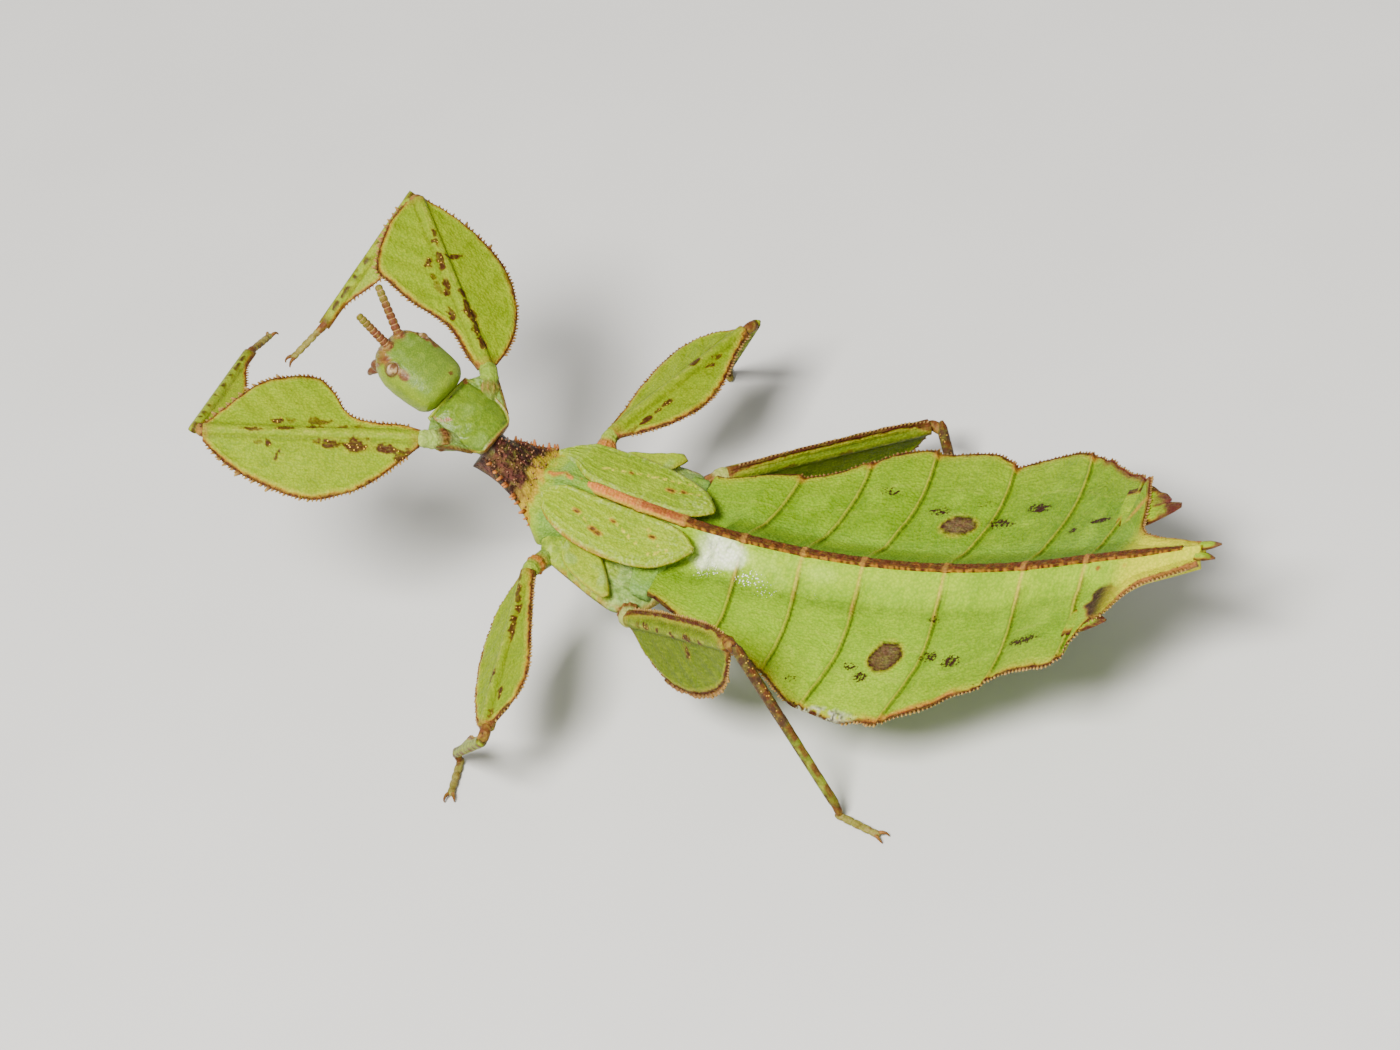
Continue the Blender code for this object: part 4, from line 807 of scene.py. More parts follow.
# %% [markdown]
# ## The thorax
#
# Between the abdomen and the shield the body is narrow. Its flanks are low
# under the wing pads, and in front it rises as a rough brown collar. The
# solid's sections are tables by rank, from the midline out to the flank. The
# skin reads the same tables at every point between the ranks.

# %% Rear part of the thorax
RANKS = 5.0                   # ranks from the midline out to the flank
THORAX_FRONT = 17.95


def by_rank(values, rank):
    """Read a section table that has one value for each rank."""
    return np.interp(rank, np.arange(len(values)), values)


def metathorax_shape(t, v, face):
    """The hind part of the thorax; it runs in under the abdomen and collar."""
    s = THORAX_FRONT - t * (THORAX_FRONT - ABDOMEN_FRONT)
    side, reach = both_sides(v)
    rank = reach * RANKS
    flare = np.clip((14.9 - s) / 0.5, 0.0, 1.0) * step_up(s, ABDOMEN_FRONT, ABDOMEN_FRONT + 0.5)
    y = by_rank((0.0, 0.38, 0.42, 1.6, 2.5, 3.0), rank)
    y += by_rank((0.0, 0.0, 0.0, 0.3, 1.2, 2.3), rank) * flare
    drop = by_rank((0.0, 0.12, 0.5, 0.66, 1.0, 1.9), rank)
    drop += by_rank((0.0, 0.0, 0.0, 0.9, 0.75, 0.1), rank) * flare
    under = by_rank((5.0, 4.95, 4.9, 4.6, 4.0, 3.3), rank)
    under -= by_rank((0.0, 0.0, 0.0, 0.4, 0.9, 0.6), rank) * flare
    wrinkle = 0.05 * cloud(s, side * y, 0.7, 31)
    z = back(s) - np.where(face > 0.5, drop - wrinkle, under)
    spots = points_of(s, side * y, z)
    return spots, {"way": points_of(s, side * y, face), "s": s, "rank": rank, "side": side}


# %% The collar
COLLAR_RAMP = 21.85           # in front of the wing pads the collar rises
COLLAR_LOW = 4.62
COLLAR_BEND = 22.1
COLLAR_SLOPE = 1.15
COLLAR_FRONT = 24.3
COLLAR_LEAN = 0.9
COLLAR_SKIN = (24.42, 17.6)   # where its skin starts and ends
COLLAR_HALF = ((17.9, 3.0), (20.2, 3.3), (21.4, 3.7), (22.3, 2.85), (23.0, 2.15), (23.6, 1.6), (24.3, 0.95))


def collar_share(s):
    """Unit place along the collar of a place along the body."""
    return (COLLAR_SKIN[0] - s) / (COLLAR_SKIN[0] - COLLAR_SKIN[1])


def mesothorax_shape(t, v, face):
    """The collar: a roof in front, and low under the wing pads behind."""
    s = COLLAR_SKIN[0] - t * (COLLAR_SKIN[0] - COLLAR_SKIN[1])
    side, reach = both_sides(v)
    rank = reach * RANKS
    front = step_up(s, COLLAR_RAMP - 0.05, COLLAR_RAMP + 0.55)
    half = eased(COLLAR_HALF, s)
    crest = by_rank((0.0, 0.38, 0.42, 1.6, 2.6, 3.1), rank) * half / 3.1
    roof = by_rank((0.0, 0.14, 0.3, 0.55, 0.85, 1.0), rank) * half
    y = roof * front + crest * (1.0 - front)
    low = by_rank((0.0, 0.12, 0.5, 0.62, 0.85, 1.6), rank)
    high = by_rank((0.0, 0.05, 0.16, 0.36, 0.66, 0.98), rank)
    climb = COLLAR_LOW + (s - COLLAR_BEND) * COLLAR_SLOPE
    line = np.where(s < COLLAR_BEND, np.minimum(back(s), COLLAR_LOW), climb)
    drop = high * front + low * (1.0 - front)
    under = by_rank((4.0, 3.95, 3.85, 3.5, 2.9, 2.3), rank) - 1.1 * front + (1.0 - front) * 0.7
    depth = np.where(face > 0.5, drop, under)
    lean = COLLAR_LEAN * depth * np.clip((s - COLLAR_BEND) / (COLLAR_FRONT - COLLAR_BEND), 0.0, 1.1)
    rough = 0.17 * cloud(s, side * y, 0.46, 33) + 0.08 * cloud(s, side * y, 0.2, 34)
    rough *= step_up(s, 21.8, 22.4)
    z = line - depth + rough * (face > 0.5)
    spots = points_of(s + lean, side * y, z)
    return spots, {"way": points_of(s, side * y, face), "s": s, "rank": rank, "side": side}


# %% Paint of the thorax
def thorax_paint(spots, facts, t, v, face):
    """Pale green flanks, a yellow zone before the pads and a purple-brown collar with a painted pink-brown
    highlight on its left flank.
    """
    s, rank, side = pick(facts, "s rank side")
    x, y = spots[:, 0], spots[:, 1]
    rough = cloud(x, y, 0.35, 36)
    soft = cloud(x, y, 1.0, 37)
    coat = Paint(len(s), MEMBRANE, 0.05, 0.0, 0.5)
    coat.lay(0.35 + 0.4 * soft, LIME)
    zone = step_up(s + 0.15 * rough, 20.9, 21.4)
    coat.lay(zone * 0.9, (0.34, 0.42, 0.03))
    wavy = ridge_of(y + 0.1 * np.sin(s * 5.0) - 0.02 * (s - 20.0), 0.2) * step_up(s, 19.1, 19.5)
    coat.lay(wavy * step_up(rough, -0.7, 0.0), (0.52, 0.17, 0.035))
    orange = step_up(s + 0.25 * rough, 21.7, 22.1)
    coat.lay(orange * 0.85, (0.5, 0.26, 0.03))
    collar = step_up(s + 0.25 * rough, 22.25, 22.7)
    coat.lay(collar, PURPLE)
    coat.lay(collar * step_up(rough, 0.25, 0.8) * 0.55, (0.12, 0.028, 0.022))
    coat.lay(collar * step_up(cloud(x, y, 0.16, 38), 0.45, 0.75) * 0.6, (0.3, 0.1, 0.07))
    # painted highlight: a pink-brown line along the left flank of the collar
    coat.lay(collar * (side > 0) * ridge_of(rank - 3.6 - 0.3 * rough, 0.55) * 0.65, (0.19, 0.058, 0.046))
    coat.lay(collar * (side < 0) * step_up(rank, 3.2, 4.2) * 0.8, (0.3, 0.06, 0.02))
    coat.fleck(collar, dark=0.5, grain=1.0)
    return coat


settle("skin_metathorax", leaf_grid(60, 60), metathorax_shape, thorax_paint, leaf_skin, ("metathorax",))
settle("skin_mesothorax", leaf_grid(120, 90), mesothorax_shape, thorax_paint, collar_skin,
       ("mesothorax",))
print("thorax skinned from", ABDOMEN_FRONT, "to", COLLAR_SKIN[0])

# %% [markdown]
# ## The keel
#
# Along the midline runs a raised cord: pink and finely ringed between the wing
# pads, rust-red in front of the abdomen, then dark red-brown and grainy, with
# a pale knob where each segment line meets it. It is a narrow leaf grid with a rounded section
# and the grains pushed up in the mesh, so that they catch the light.

# %% The cord along the midline
KEEL_FRONT = 18.75
KEEL_REAR = -22.6
KEEL_PADS = 12.3              # the last pale knob before the dark part
KEEL_KNOBS = (12.35, 15.4)    # pale knobs between the wing pads
KEEL_RING = 0.24              # from one ring to the next


def keel_shape(t, v, face):
    """A low rounded cord that lies on the ridge line."""
    s = KEEL_FRONT + (KEEL_REAR - KEEL_FRONT) * t
    reach = 2.0 * v - 1.0
    pink = step_up(s, KEEL_PADS - 0.2, KEEL_PADS + 0.4)
    half = (0.34 + 0.07 * pink) * np.clip((s - KEEL_REAR) / 6.0 + 0.45, 0.45, 1.0)
    half = half * (1.0 - 0.5 * step_up(s, 18.2, 18.75))
    near = line_distance(s)
    knobs = ridge_of(near, 0.22) * (s < 9.5)
    for knob in KEEL_KNOBS:
        knobs = np.maximum(knobs, ridge_of(s - knob, 0.22))
    half = half * (1.0 + 0.2 * knobs)
    rings = pink * 0.03 * np.sin(s * 2.0 * math.pi / KEEL_RING) * (1.0 - reach ** 2)
    grains = (1.0 - pink) * 0.075 * cloud(s, reach * half, 0.15, 41) + 0.02 * cloud(s, reach * half, 0.3, 42)
    dome = np.sqrt(np.clip(1.0 - reach ** 2, 0.0, 1.0)) * (0.16 + 0.06 * pink + 0.03 * knobs)
    line = np.where(s > 20.0, np.minimum(back(s), COLLAR_LOW - 0.02), back(s))
    z = line + np.where(face > 0.5, dome + rings + grains * (1.0 - reach ** 2) - 0.05, -0.3)
    spots = points_of(s, reach * half, z)
    way = points_of(s, reach, face)
    return spots, {"way": way, "s": s, "pink": pink, "reach": reach, "knobs": knobs}


def keel_paint(spots, facts, t, v, face):
    """Pink and ringed in front, dark and grainy behind, with pale knobs."""
    s, pink, reach, knobs = pick(facts, "s pink reach knobs")
    rough = cloud(s, spots[:, 1], 0.16, 43)
    coat = Paint(len(s), (0.09, 0.016, 0.008), 0.14, 0.0, 0.9)
    coat.lay(step_up(rough, 0.1, 0.7) * 0.5, (0.22, 0.045, 0.012))
    coat.lay(step_up(rough, 0.7, 0.95) * 0.3, (0.42, 0.15, 0.03))
    coat.lay(step_up(reach, 0.6, 0.95) * step_up(rough, -0.4, 0.4) * 0.7, (0.52, 0.22, 0.02))
    coat.lay(pink, SALMON)
    ringed = step_up(np.sin(s * 2.0 * math.pi / KEEL_RING + 1.5 * rough), 0.1, 0.9)
    coat.lay(pink * ringed * 0.35, (0.7, 0.32, 0.1))
    rusty = pink * step_down(s, 15.0, 16.2) * step_up(1.0 - np.abs(reach) + 0.3 * rough, 0.1, 0.5)
    coat.lay(rusty * 0.8, (0.27, 0.05, 0.022))
    coat.lay(pink * step_up(np.abs(reach), 0.74, 0.95) * 0.85, (0.56, 0.36, 0.05))
    coat.lay(step_up(knobs, 0.3, 0.75) * 0.55, (0.5, 0.22, 0.06))
    coat.fleck(pink, dark=0.1, pale=0.0, grain=0.5)
    return coat


settle("keel", leaf_grid(600, 12), keel_shape, keel_paint, leaf_skin)
print("keel from", KEEL_FRONT, "to", KEEL_REAR)

# %% [markdown]
# ## The shield
#
# The plate behind the head is wider in front, has a thin raised rim and looks
# like green glass over milk. It shares the head's turned frame.

# %% The shield
SHIELD = (0.15, 4.42)         # its rear and front end in the turned frame
SHIELD_TOP = 0.68
SHIELD_HALF = ((0.0, 1.2), (0.08, 1.72), (0.25, 2.12), (0.6, 2.3), (0.86, 2.16), (1.0, 1.98))
SHIELD_DEPTH = 2.5


def shield_shape(t, v, face):
    """The shield with its rim and soft creases."""
    length = SHIELD[1] - SHIELD[0]
    forward = SHIELD[0] + length * t
    reach = 2.0 * v - 1.0
    half = eased(SHIELD_HALF, t)
    near = np.minimum(np.minimum((1.0 - np.abs(reach)) * half, t * length), (1.0 - t) * length)
    rim = 0.13 * ridge_of(near - 0.09, 0.09) - 0.06 * ridge_of(near - 0.3, 0.14)
    dome = 0.3 * (1.0 - reach ** 2) * np.sin(math.pi * np.minimum(1.0, 0.15 + t * 0.8))
    crease = 0.07 * cloud(forward * 0.8, half * reach, 0.75, 51)
    crease += 0.02 * cloud(forward, half * reach, 0.3, 52)
    crumple = oval(forward, half * reach, (1.4, 1.2), (1.0, 0.8), 1.2)
    crease += 0.06 * crumple * np.sin(forward * 5.0 - half * reach * 4.0)
    fall = (0.28 + 0.22 * (reach > 0)) * reach ** 2
    upper = SHIELD_TOP + dome + rim - fall + crease * step_up(near, 0.25, 0.6)
    lower = SHIELD_TOP - SHIELD_DEPTH * (1.0 - 0.55 * reach ** 2)
    up = np.where(face > 0.5, upper, lower)
    spots = turned(forward, half * reach * np.where(face > 0.5, 1.0, 0.72), up)
    way = points_of(forward, half * reach, face)
    return spots, {"way": way, "near": near, "f": forward, "l": half * reach}


def shield_paint(spots, facts, t, v, face):
    """Milky green with a yellow rim that turns brown behind, and brown marks."""
    f, left, near = pick(facts, "f l near")
    rough = cloud(f, left, 0.3, 53)
    soft = cloud(f, left, 0.9, 54)
    coat = Paint(len(f), SHIELD_GREEN, 0.0, 0.0, 0.4)
    coat.lay(step_up(soft, 0.0, 0.8) * 0.4, (0.24, 0.34, 0.08))
    coat.lay(step_up(-soft, 0.1, 0.8) * 0.5, (0.11, 0.19, 0.016))
    coat.lay(ridge_of(cloud(f, left, 0.55, 55), 0.1) * step_up(near, 0.4, 0.8) * 0.12, (0.34, 0.44, 0.17))
    coat.lay(ridge_of(near - 0.3, 0.1) * 0.6, (0.09, 0.14, 0.012))
    rim = ridge_of(near - 0.08, 0.11)
    coat.lay(rim * 0.8, (0.36, 0.38, 0.03))
    brown = rim * step_up(rough, -0.2, 0.4) * step_down(f, 3.4, 4.1)
    coat.lay(brown * 0.8, (0.26, 0.085, 0.025))
    coat.lay(step_down(t, 0.015, 0.045) * 0.9, (0.2, 0.06, 0.03))
    coat.lay(oval(f, left, (3.75, 1.8), (0.5, 0.24), 0.6) * step_up(rough, -0.5, 0.3), (0.4, 0.12, 0.035))
    coat.lay(oval(f, left, (3.2, 1.45), (0.3, 0.24), 0.6) * step_up(rough, -0.3, 0.4), (0.34, 0.1, 0.04))
    coat.lay(oval(f, left, (4.25, -1.7), (0.25, 0.2), 0.6), (0.3, 0.09, 0.035))
    return coat


settle("skin_shield", leaf_grid(100, 90), shield_shape, shield_paint, shield_skin,
       ("prothorax",))
print("shield from", SHIELD[0], "to", SHIELD[1], "in the turned frame")

# %% [markdown]
# ## The head
#
# The head is a smooth egg with a nearly square rear that fits the shield.
# Raising the unit ball's coordinates to a power below one squares it: gently
# in front, strongly behind. Each eye sits sunk in a shallow socket.

# %% Head, with its sockets
HEAD_CENTRE = (7.15, 0.0, 0.75)
HEAD_RADII = (2.58, 2.18, 1.62)
HEAD_FRONT_POWER = 0.76
HEAD_REAR_POWER = 0.46
HEAD_RING_POWER = 0.84
EYE_PLACE = (7.98, 1.58, 1.62)
EYE_RADIUS = 0.4


def ball_unit(t, v):
    """The unit ball from two unit places, with its poles ahead and behind."""
    polar, turn = math.pi * t, 2.0 * math.pi * v
    return np.cos(polar), np.sin(polar) * np.cos(turn), np.sin(polar) * np.sin(turn)


def head_shape(t, v, face):
    """The egg of the head in the turned frame."""
    ux, uy, uz = ball_unit(t, v)
    share = np.clip(ux / 0.5 + 1.0, 0.0, 1.0)
    power = HEAD_REAR_POWER + (HEAD_FRONT_POWER - HEAD_REAR_POWER) * share
    ring = np.maximum(np.hypot(uy, uz), 1e-6)
    reach = ring ** power / ring ** HEAD_RING_POWER
    narrow = 1.0 - 0.16 * np.maximum(0.0, ux) ** 2
    stretch = 1.0 + 0.065 * np.maximum(0.0, -ux)
    forward = HEAD_CENTRE[0] + HEAD_RADII[0] * stretch * np.copysign(np.abs(ux) ** power, ux)
    left = HEAD_RADII[1] * np.copysign(np.abs(uy) ** HEAD_RING_POWER, uy) * reach * narrow
    rise = HEAD_RADII[2] * np.copysign(np.abs(uz) ** HEAD_RING_POWER, uz) * reach
    up = HEAD_CENTRE[2] + rise * (1.0 - 0.12 * np.maximum(0.0, ux))
    gaps = (forward - EYE_PLACE[0], np.abs(left) - EYE_PLACE[1], up - EYE_PLACE[2])
    eye = np.sqrt(gaps[0] ** 2 + gaps[1] ** 2 + gaps[2] ** 2)
    press = 1.0 - 0.05 * step_down(eye, 0.26, 0.5) + 0.018 * ridge_of(eye - 0.52, 0.08)
    press += 0.007 * cloud(forward + up, left, 0.5, 61) + 0.004 * cloud(forward, left, 0.2, 66)
    brow = ridge_of(np.abs(left) - 1.05, 0.5) * step_up(forward, 8.3, 9.0) * (up > 0.5)
    press += 0.05 * brow * (0.6 + 0.4 * cloud(forward, left, 0.3, 67))
    press += step_up(forward, 8.6, 9.4) * 0.03 * cloud(forward + up, left, 0.22, 62)
    spots = turned(HEAD_CENTRE[0] + (forward - HEAD_CENTRE[0]) * press, left * press,
                   HEAD_CENTRE[2] + (up - HEAD_CENTRE[2]) * press)
    way = points_of(forward, left, up)
    return spots, {"way": way, "f": forward, "l": left, "u": up, "eye": eye}


# %% Paint of the head
def path_distance(x, y, points):
    """Distance to a bent line through a few points."""
    best = np.full(np.shape(x), 1e9)
    for (x0, y0), (x1, y1) in zip(points, points[1:]):
        run, rise = x1 - x0, y1 - y0
        share = np.clip(((x - x0) * run + (y - y0) * rise) / (run ** 2 + rise ** 2), 0.0, 1.0)
        best = np.minimum(best, np.hypot(x - x0 - share * run, y - y0 - share * rise))
    return best


def head_paint(spots, facts, t, v, face):
    """Green crown, olive cheeks, and a brown band through each eye."""
    f, left, up, eye = pick(facts, "f l u eye")
    rough = cloud(f + 0.5 * up, left, 0.28, 63)
    fine = cloud(f + 0.5 * up, left, 0.14, 64)
    side = np.abs(left)
    coat = Paint(len(f), CROWN_GREEN, 0.0, 0.0, 0.4)
    crown = step_up(up, 1.2, 2.2)
    coat.lay(crown * 0.5, (0.15, 0.23, 0.034))
    coat.lay(crown * step_up(rough, 0.0, 0.7) * step_up(f, 6.0, 7.5) * 0.4, (0.24, 0.32, 0.09))
    coat.lay(step_down(up, 0.0, 1.5) * 0.7, (0.25, 0.3, 0.016))
    coat.lay(step_down(f, 4.7, 5.8) * 0.6, (0.24, 0.31, 0.018))
    edge = ridge_of(side - 1.95, 0.22) * (up > 0.2)
    coat.lay(edge * 0.5, (0.3, 0.36, 0.02))
    away = path_distance(f, side, ((7.0, 1.62), (8.0, 1.6), (8.75, 1.5), (9.15, 1.1), (9.35, 0.6)))
    band = step_down(away + 0.1 * rough + 0.05 * fine, 0.1, 0.3) * (up > 0.4)
    coat.lay(band * 0.85, (0.27, 0.085, 0.024))
    coat.lay(band * step_up(-rough, 0.1, 0.6) * 0.8, (0.14, 0.036, 0.018))
    coat.lay(band * step_up(fine, 0.4, 0.7) * 0.8, (0.58, 0.3, 0.15))
    behind = oval(f + 0.1 * rough, side, (7.12, 1.66), (0.34, 0.22), 0.4) * (up > 0.6)
    coat.lay(behind * step_up(rough, -0.9, -0.2), (0.15, 0.04, 0.018))
    coat.lay(ridge_of(eye - 0.47, 0.08), (0.085, 0.024, 0.012))
    rear_mark = oval(f, left + 0.1 * fine, (5.02, -0.55), (0.16, 0.13), 0.5) * (up > 0.5)
    coat.lay(rear_mark, (0.12, 0.035, 0.015))
    front = step_up(f + 0.15 * rough, 8.7, 9.3)
    coat.lay(front * 0.7, (0.26, 0.16, 0.04))
    coat.lay(front * step_up(rough, 0.1, 0.6), (0.2, 0.055, 0.03))
    coat.fleck(front, dark=0.35, grain=0.9)
    return coat


settle("skin_head", limb_grid(150, 150), head_shape, head_paint, crown_skin, ("head",))

# %% Eyes
eye_skin = skin_material("eye skin", 0.16, 0.055, 0.01, sink=0.1)


def eye_shape_at(centre):
    """A round eye at a place in the turned frame."""
    def shape(t, v, face):
        ux, uy, uz = ball_unit(t, v)
        spots = centre + points_of(ux, uy, uz) * EYE_RADIUS
        return spots, {"way": spots}
    return shape


def eye_paint(spots, facts, t, v, face):
    """Pinkish white with a mottle of brown."""
    mottle = cloud(spots[:, 0], spots[:, 2], 0.15, 65)
    coat = Paint(len(t), (0.44, 0.25, 0.17), 0.0, 0.0, 0.8)
    coat.lay(step_up(mottle, 0.1, 0.5) * 0.9, (0.15, 0.055, 0.032))
    coat.lay(step_up(-mottle, 0.2, 0.8) * 0.6, (0.74, 0.56, 0.46))
    return coat


for word, side in SIDES:
    centre = turned(EYE_PLACE[0], side * EYE_PLACE[1], EYE_PLACE[2])
    settle("eye_ball_" + word, limb_grid(28, 28), eye_shape_at(centre), eye_paint, eye_skin,
           ("eye_" + word,))
print("head with two eyes of radius", EYE_RADIUS)

# %% [markdown]
# ## Round limbs
#
# Feelers, hips, knees and feet are round. Each follows a smooth path through a
# few points and has a table of radii that closes at both ends. A ring function
# can swell the joints.

# %% The limb's shape
def limb_shape(points, radii, ring=None, flat=1.0, floor=None):
    """Shape of a round limb along points, with an eased path and radius."""
    points = np.array([tuple(point) for point in points], dtype=float)
    stops = np.linspace(0.0, 1.0, len(points))
    tables = [tuple(zip(stops, points[:, axis])) for axis in range(3)]
    length = float(np.linalg.norm(np.diff(points, axis=0), axis=1).sum())

    def path(t):
        return np.column_stack([eased(table, t) for table in tables])

    def shape(t, v, face):
        along = path(np.clip(t + 0.01, 0.0, 1.0)) - path(np.clip(t - 0.01, 0.0, 1.0))
        along /= np.linalg.norm(along, axis=1)[:, None]
        side = np.cross(along, (0.0, 0.0, 1.0))
        side /= np.linalg.norm(side, axis=1)[:, None]
        rise = np.cross(side, along)
        turn = 2.0 * math.pi * v
        reach = eased(radii, t) * (ring(t, v) if ring else 1.0)
        spots = path(t) + side * (np.cos(turn) * reach)[:, None]
        spots = spots + rise * (np.sin(turn) * reach * flat)[:, None]
        if floor is not None:
            spots[:, 2] = np.maximum(spots[:, 2], floor)
        way = points_of(t * length, v * 3.0, face)
        return spots, {"way": way, "reach": reach}

    return shape


def plain_paint(base, second, dark=0.1, pale=0.0, grain=0.6, size=0.3):
    """Two colours in soft patches."""
    def paint(spots, facts, t, v, face):
        patch = cloud(spots[:, 0] + spots[:, 2], spots[:, 1], size, 70)
        coat = Paint(len(t), base, dark, pale, grain)
        coat.lay(step_up(patch, -0.2, 0.7), second)
        return coat
    return paint


def limb(name, grid, points, radii, paint, skin, nodes=(), slot="shin_olive", **form):
    """Settle a round limb on its path; form may give its ring, flatness or floor."""
    settle(name, limb_grid(*grid), limb_shape(points, radii, **form), paint, skin, nodes)


# %% Feelers
ANTENNA_BASE = (9.45, 0.58, 1.88)
ANTENNA_REACH = {1.0: (2.4, 0.33, 1.2), -1.0: (2.85, -1.17, 1.2)}
ANTENNA_RADII = ((0.0, 0.0), (0.015, 0.26), (0.1, 0.31), (0.5, 0.29), (0.93, 0.26), (0.985, 0.18), (1.0, 0.0))
SOCKET = ((8.75, 0.56, 1.45), (9.1, 0.57, 1.66), (9.45, 0.58, 1.84))
SOCKET_RADII = ((0.0, 0.0), (0.1, 0.36), (0.6, 0.42), (0.9, 0.37), (1.0, 0.0))
RINGS = 9


def feeler_ring(t, v):
    """Each ring is a little barrel with a pinched joint."""
    return 0.74 + 0.26 * np.abs(np.sin(math.pi * RINGS * t)) ** 0.5


def feeler_paint(spots, facts, t, v, face):
    """Pink-brown rings with pale edges, olive towards the tip."""
    joint = 1.0 - np.abs(np.sin(math.pi * RINGS * t))
    coat = Paint(len(t), (0.17, 0.048, 0.028), 0.1, 0.0, 0.6)
    coat.lay(step_up(t, 0.55, 0.8) * 0.85, (0.2, 0.15, 0.03))
    coat.lay(step_up(joint, 0.62, 0.9) * 0.8, (0.56, 0.28, 0.14))
    return coat


socket_paint = plain_paint((0.3, 0.15, 0.045), (0.17, 0.045, 0.022), 0.3, size=0.2)
for word, side in SIDES:
    root = turned(ANTENNA_BASE[0] - 0.25, side * ANTENNA_BASE[1] * 0.95, ANTENNA_BASE[2] - 0.12)
    reach = ANTENNA_REACH[side]
    tip = turned(ANTENNA_BASE[0] + reach[0], side * ANTENNA_BASE[1] + reach[1], ANTENNA_BASE[2] + reach[2])
    points = [root + (tip - root) * share for share in (0.0, 0.33, 0.66, 1.0)]
    limb("feeler_" + word, (150, 18), points, ANTENNA_RADII, feeler_paint, feeler_skin,
         ("antenna_" + word,), "feeler_brown", ring=feeler_ring)
    points = [turned(ahead, side * aside, up) for ahead, aside, up in SOCKET]
    limb("feeler_socket_" + word, (24, 18), points, SOCKET_RADII, socket_paint, crown_skin, slot="head_green")
print("feelers with", RINGS, "rings each")

# %% Mouthparts
MOUTH_RADII = ((0.0, 0.0), (0.06, 0.6), (0.3, 1.0), (0.7, 0.85), (0.94, 0.45), (1.0, 0.0))
mouth_paint = plain_paint((0.24, 0.13, 0.035), (0.13, 0.04, 0.022), 0.3)


def scaled(table, factor):
    """A radius table made wider or narrower."""
    return tuple((row[0], row[1] * factor) for row in table)


def mouthpart(word, places, thick, side=1.0):
    """A lip, palp or jaw along a few places of the turned frame."""
    points = [turned(ahead, side * aside, up) for ahead, aside, up in places]
    radii = scaled(MOUTH_RADII, thick)
    limb("mouth_" + word, (26, 22), points, radii, mouth_paint, crown_skin, slot="head_green")


mouthpart("labrum", ((8.4, 0.0, -0.2), (9.1, 0.0, -0.5), (9.5, 0.0, -1.0)), 0.9)
for word, side in SIDES:
    mouthpart("palp_" + word, ((9.0, 0.75, -0.9), (9.4, 0.95, -1.3), (9.5, 1.0, -1.9)), 0.26, side)
for word, side in SIDES:
    mouthpart("jaw_" + word, ((8.7, 0.7, -0.5), (9.3, 0.75, -0.7), (9.55, 0.55, -1.2)), 0.42, side)

# %% Necks
NECK_RADII = ((0.0, 0.0), (0.08, 0.8), (0.5, 1.0), (0.92, 0.8), (1.0, 0.0))
NECKS = (                     # path, thickness and two tones
    ("head", (turned(3.5, 0.0, -0.1), turned(4.2, 0.0, 0.05), turned(5.0, 0.0, 0.2)), 0.85,
     (0.12, 0.15, 0.02), (0.06, 0.03, 0.018)),
    ("shield", (np.array((22.9, 0.0, 3.4)), turned(-0.1, 0.0, -0.75), turned(1.3, 0.0, -0.6)), 1.05,
     (0.06, 0.022, 0.018), (0.11, 0.035, 0.026)),
)
for word, points, thick, tone, second in NECKS:
    paint = plain_paint(tone, second, 0.3)
    limb("neck_" + word, (24, 32), points, scaled(NECK_RADII, thick), paint, shield_skin,
         slot="shield_green", flat=0.8)
print("mouthparts and", len(NECKS), "necks are on")

# %% [markdown]
# ## Wing pads
#
# A young leaf insect has no wings yet, only pads, like two small leaves laid
# on its back. They carry the wing's later veins as raised lines that fan out
# from the base. The veins are in the mesh, and rows of yellow dots follow them.

# %% Fore pads
PAD_HEIGHT = 4.45             # the pads stay level where the ridge climbs higher
PAD_FRONT = {1.0: 21.45, -1.0: 22.05}
PAD_REAR = 11.2
PAD_INNER = {
    1.0: ((0.0, 1.2), (0.05, 0.75), (0.14, 0.5), (0.3, 0.44), (0.75, 0.46), (0.9, 0.8), (1.0, 1.6)),
    -1.0: ((0.0, 2.3), (0.14, 1.6), (0.26, 0.64), (0.4, 0.46), (0.75, 0.46), (0.9, 0.75), (1.0, 1.6)),
}
PAD_OUTER = {
    1.0: ((0.0, 1.75), (0.05, 2.75), (0.19, 3.85), (0.41, 4.4), (0.64, 4.35), (0.8, 3.95),
          (0.93, 2.95), (1.0, 1.95)),
    -1.0: ((0.0, 2.75), (0.1, 3.55), (0.31, 4.2), (0.56, 4.35), (0.74, 4.0), (0.89, 3.3),
           (0.97, 2.4), (1.0, 1.9)),
}
PAD_VEINS = (                 # share of the width at the base and at the tip
    (0.1, 0.1), (0.26, 0.3), (0.42, 0.47), (0.6, 0.62), (0.8, 0.8),
)
PAD_BEADS = {                 # rows of small yellow beads, by their ends
    1.0: (((16.6, 1.75), (14.5, 2.85)), ((14.35, 1.4), (13.3, 2.45)), ((18.9, 2.1), (17.6, 2.7)),
          ((13.6, 3.3), (12.6, 2.6))),
    -1.0: (((18.6, -1.9), (16.2, -2.75)), ((16.2, -2.75), (13.2, -3.35)), ((14.5, -2.1), (12.6, -2.6))),
}
PAD_SPOTS = {                 # place and half size of the orange-brown spots
    1.0: ((18.7, 2.16, 0.18), (17.38, 2.96, 0.22), (16.99, 3.1, 0.22), (16.42, 1.87, 0.16),
          (13.8, 2.0, 0.2)),
    -1.0: ((14.31, -2.17, 0.24), (13.56, -2.43, 0.18), (17.03, -2.42, 0.14)),
}


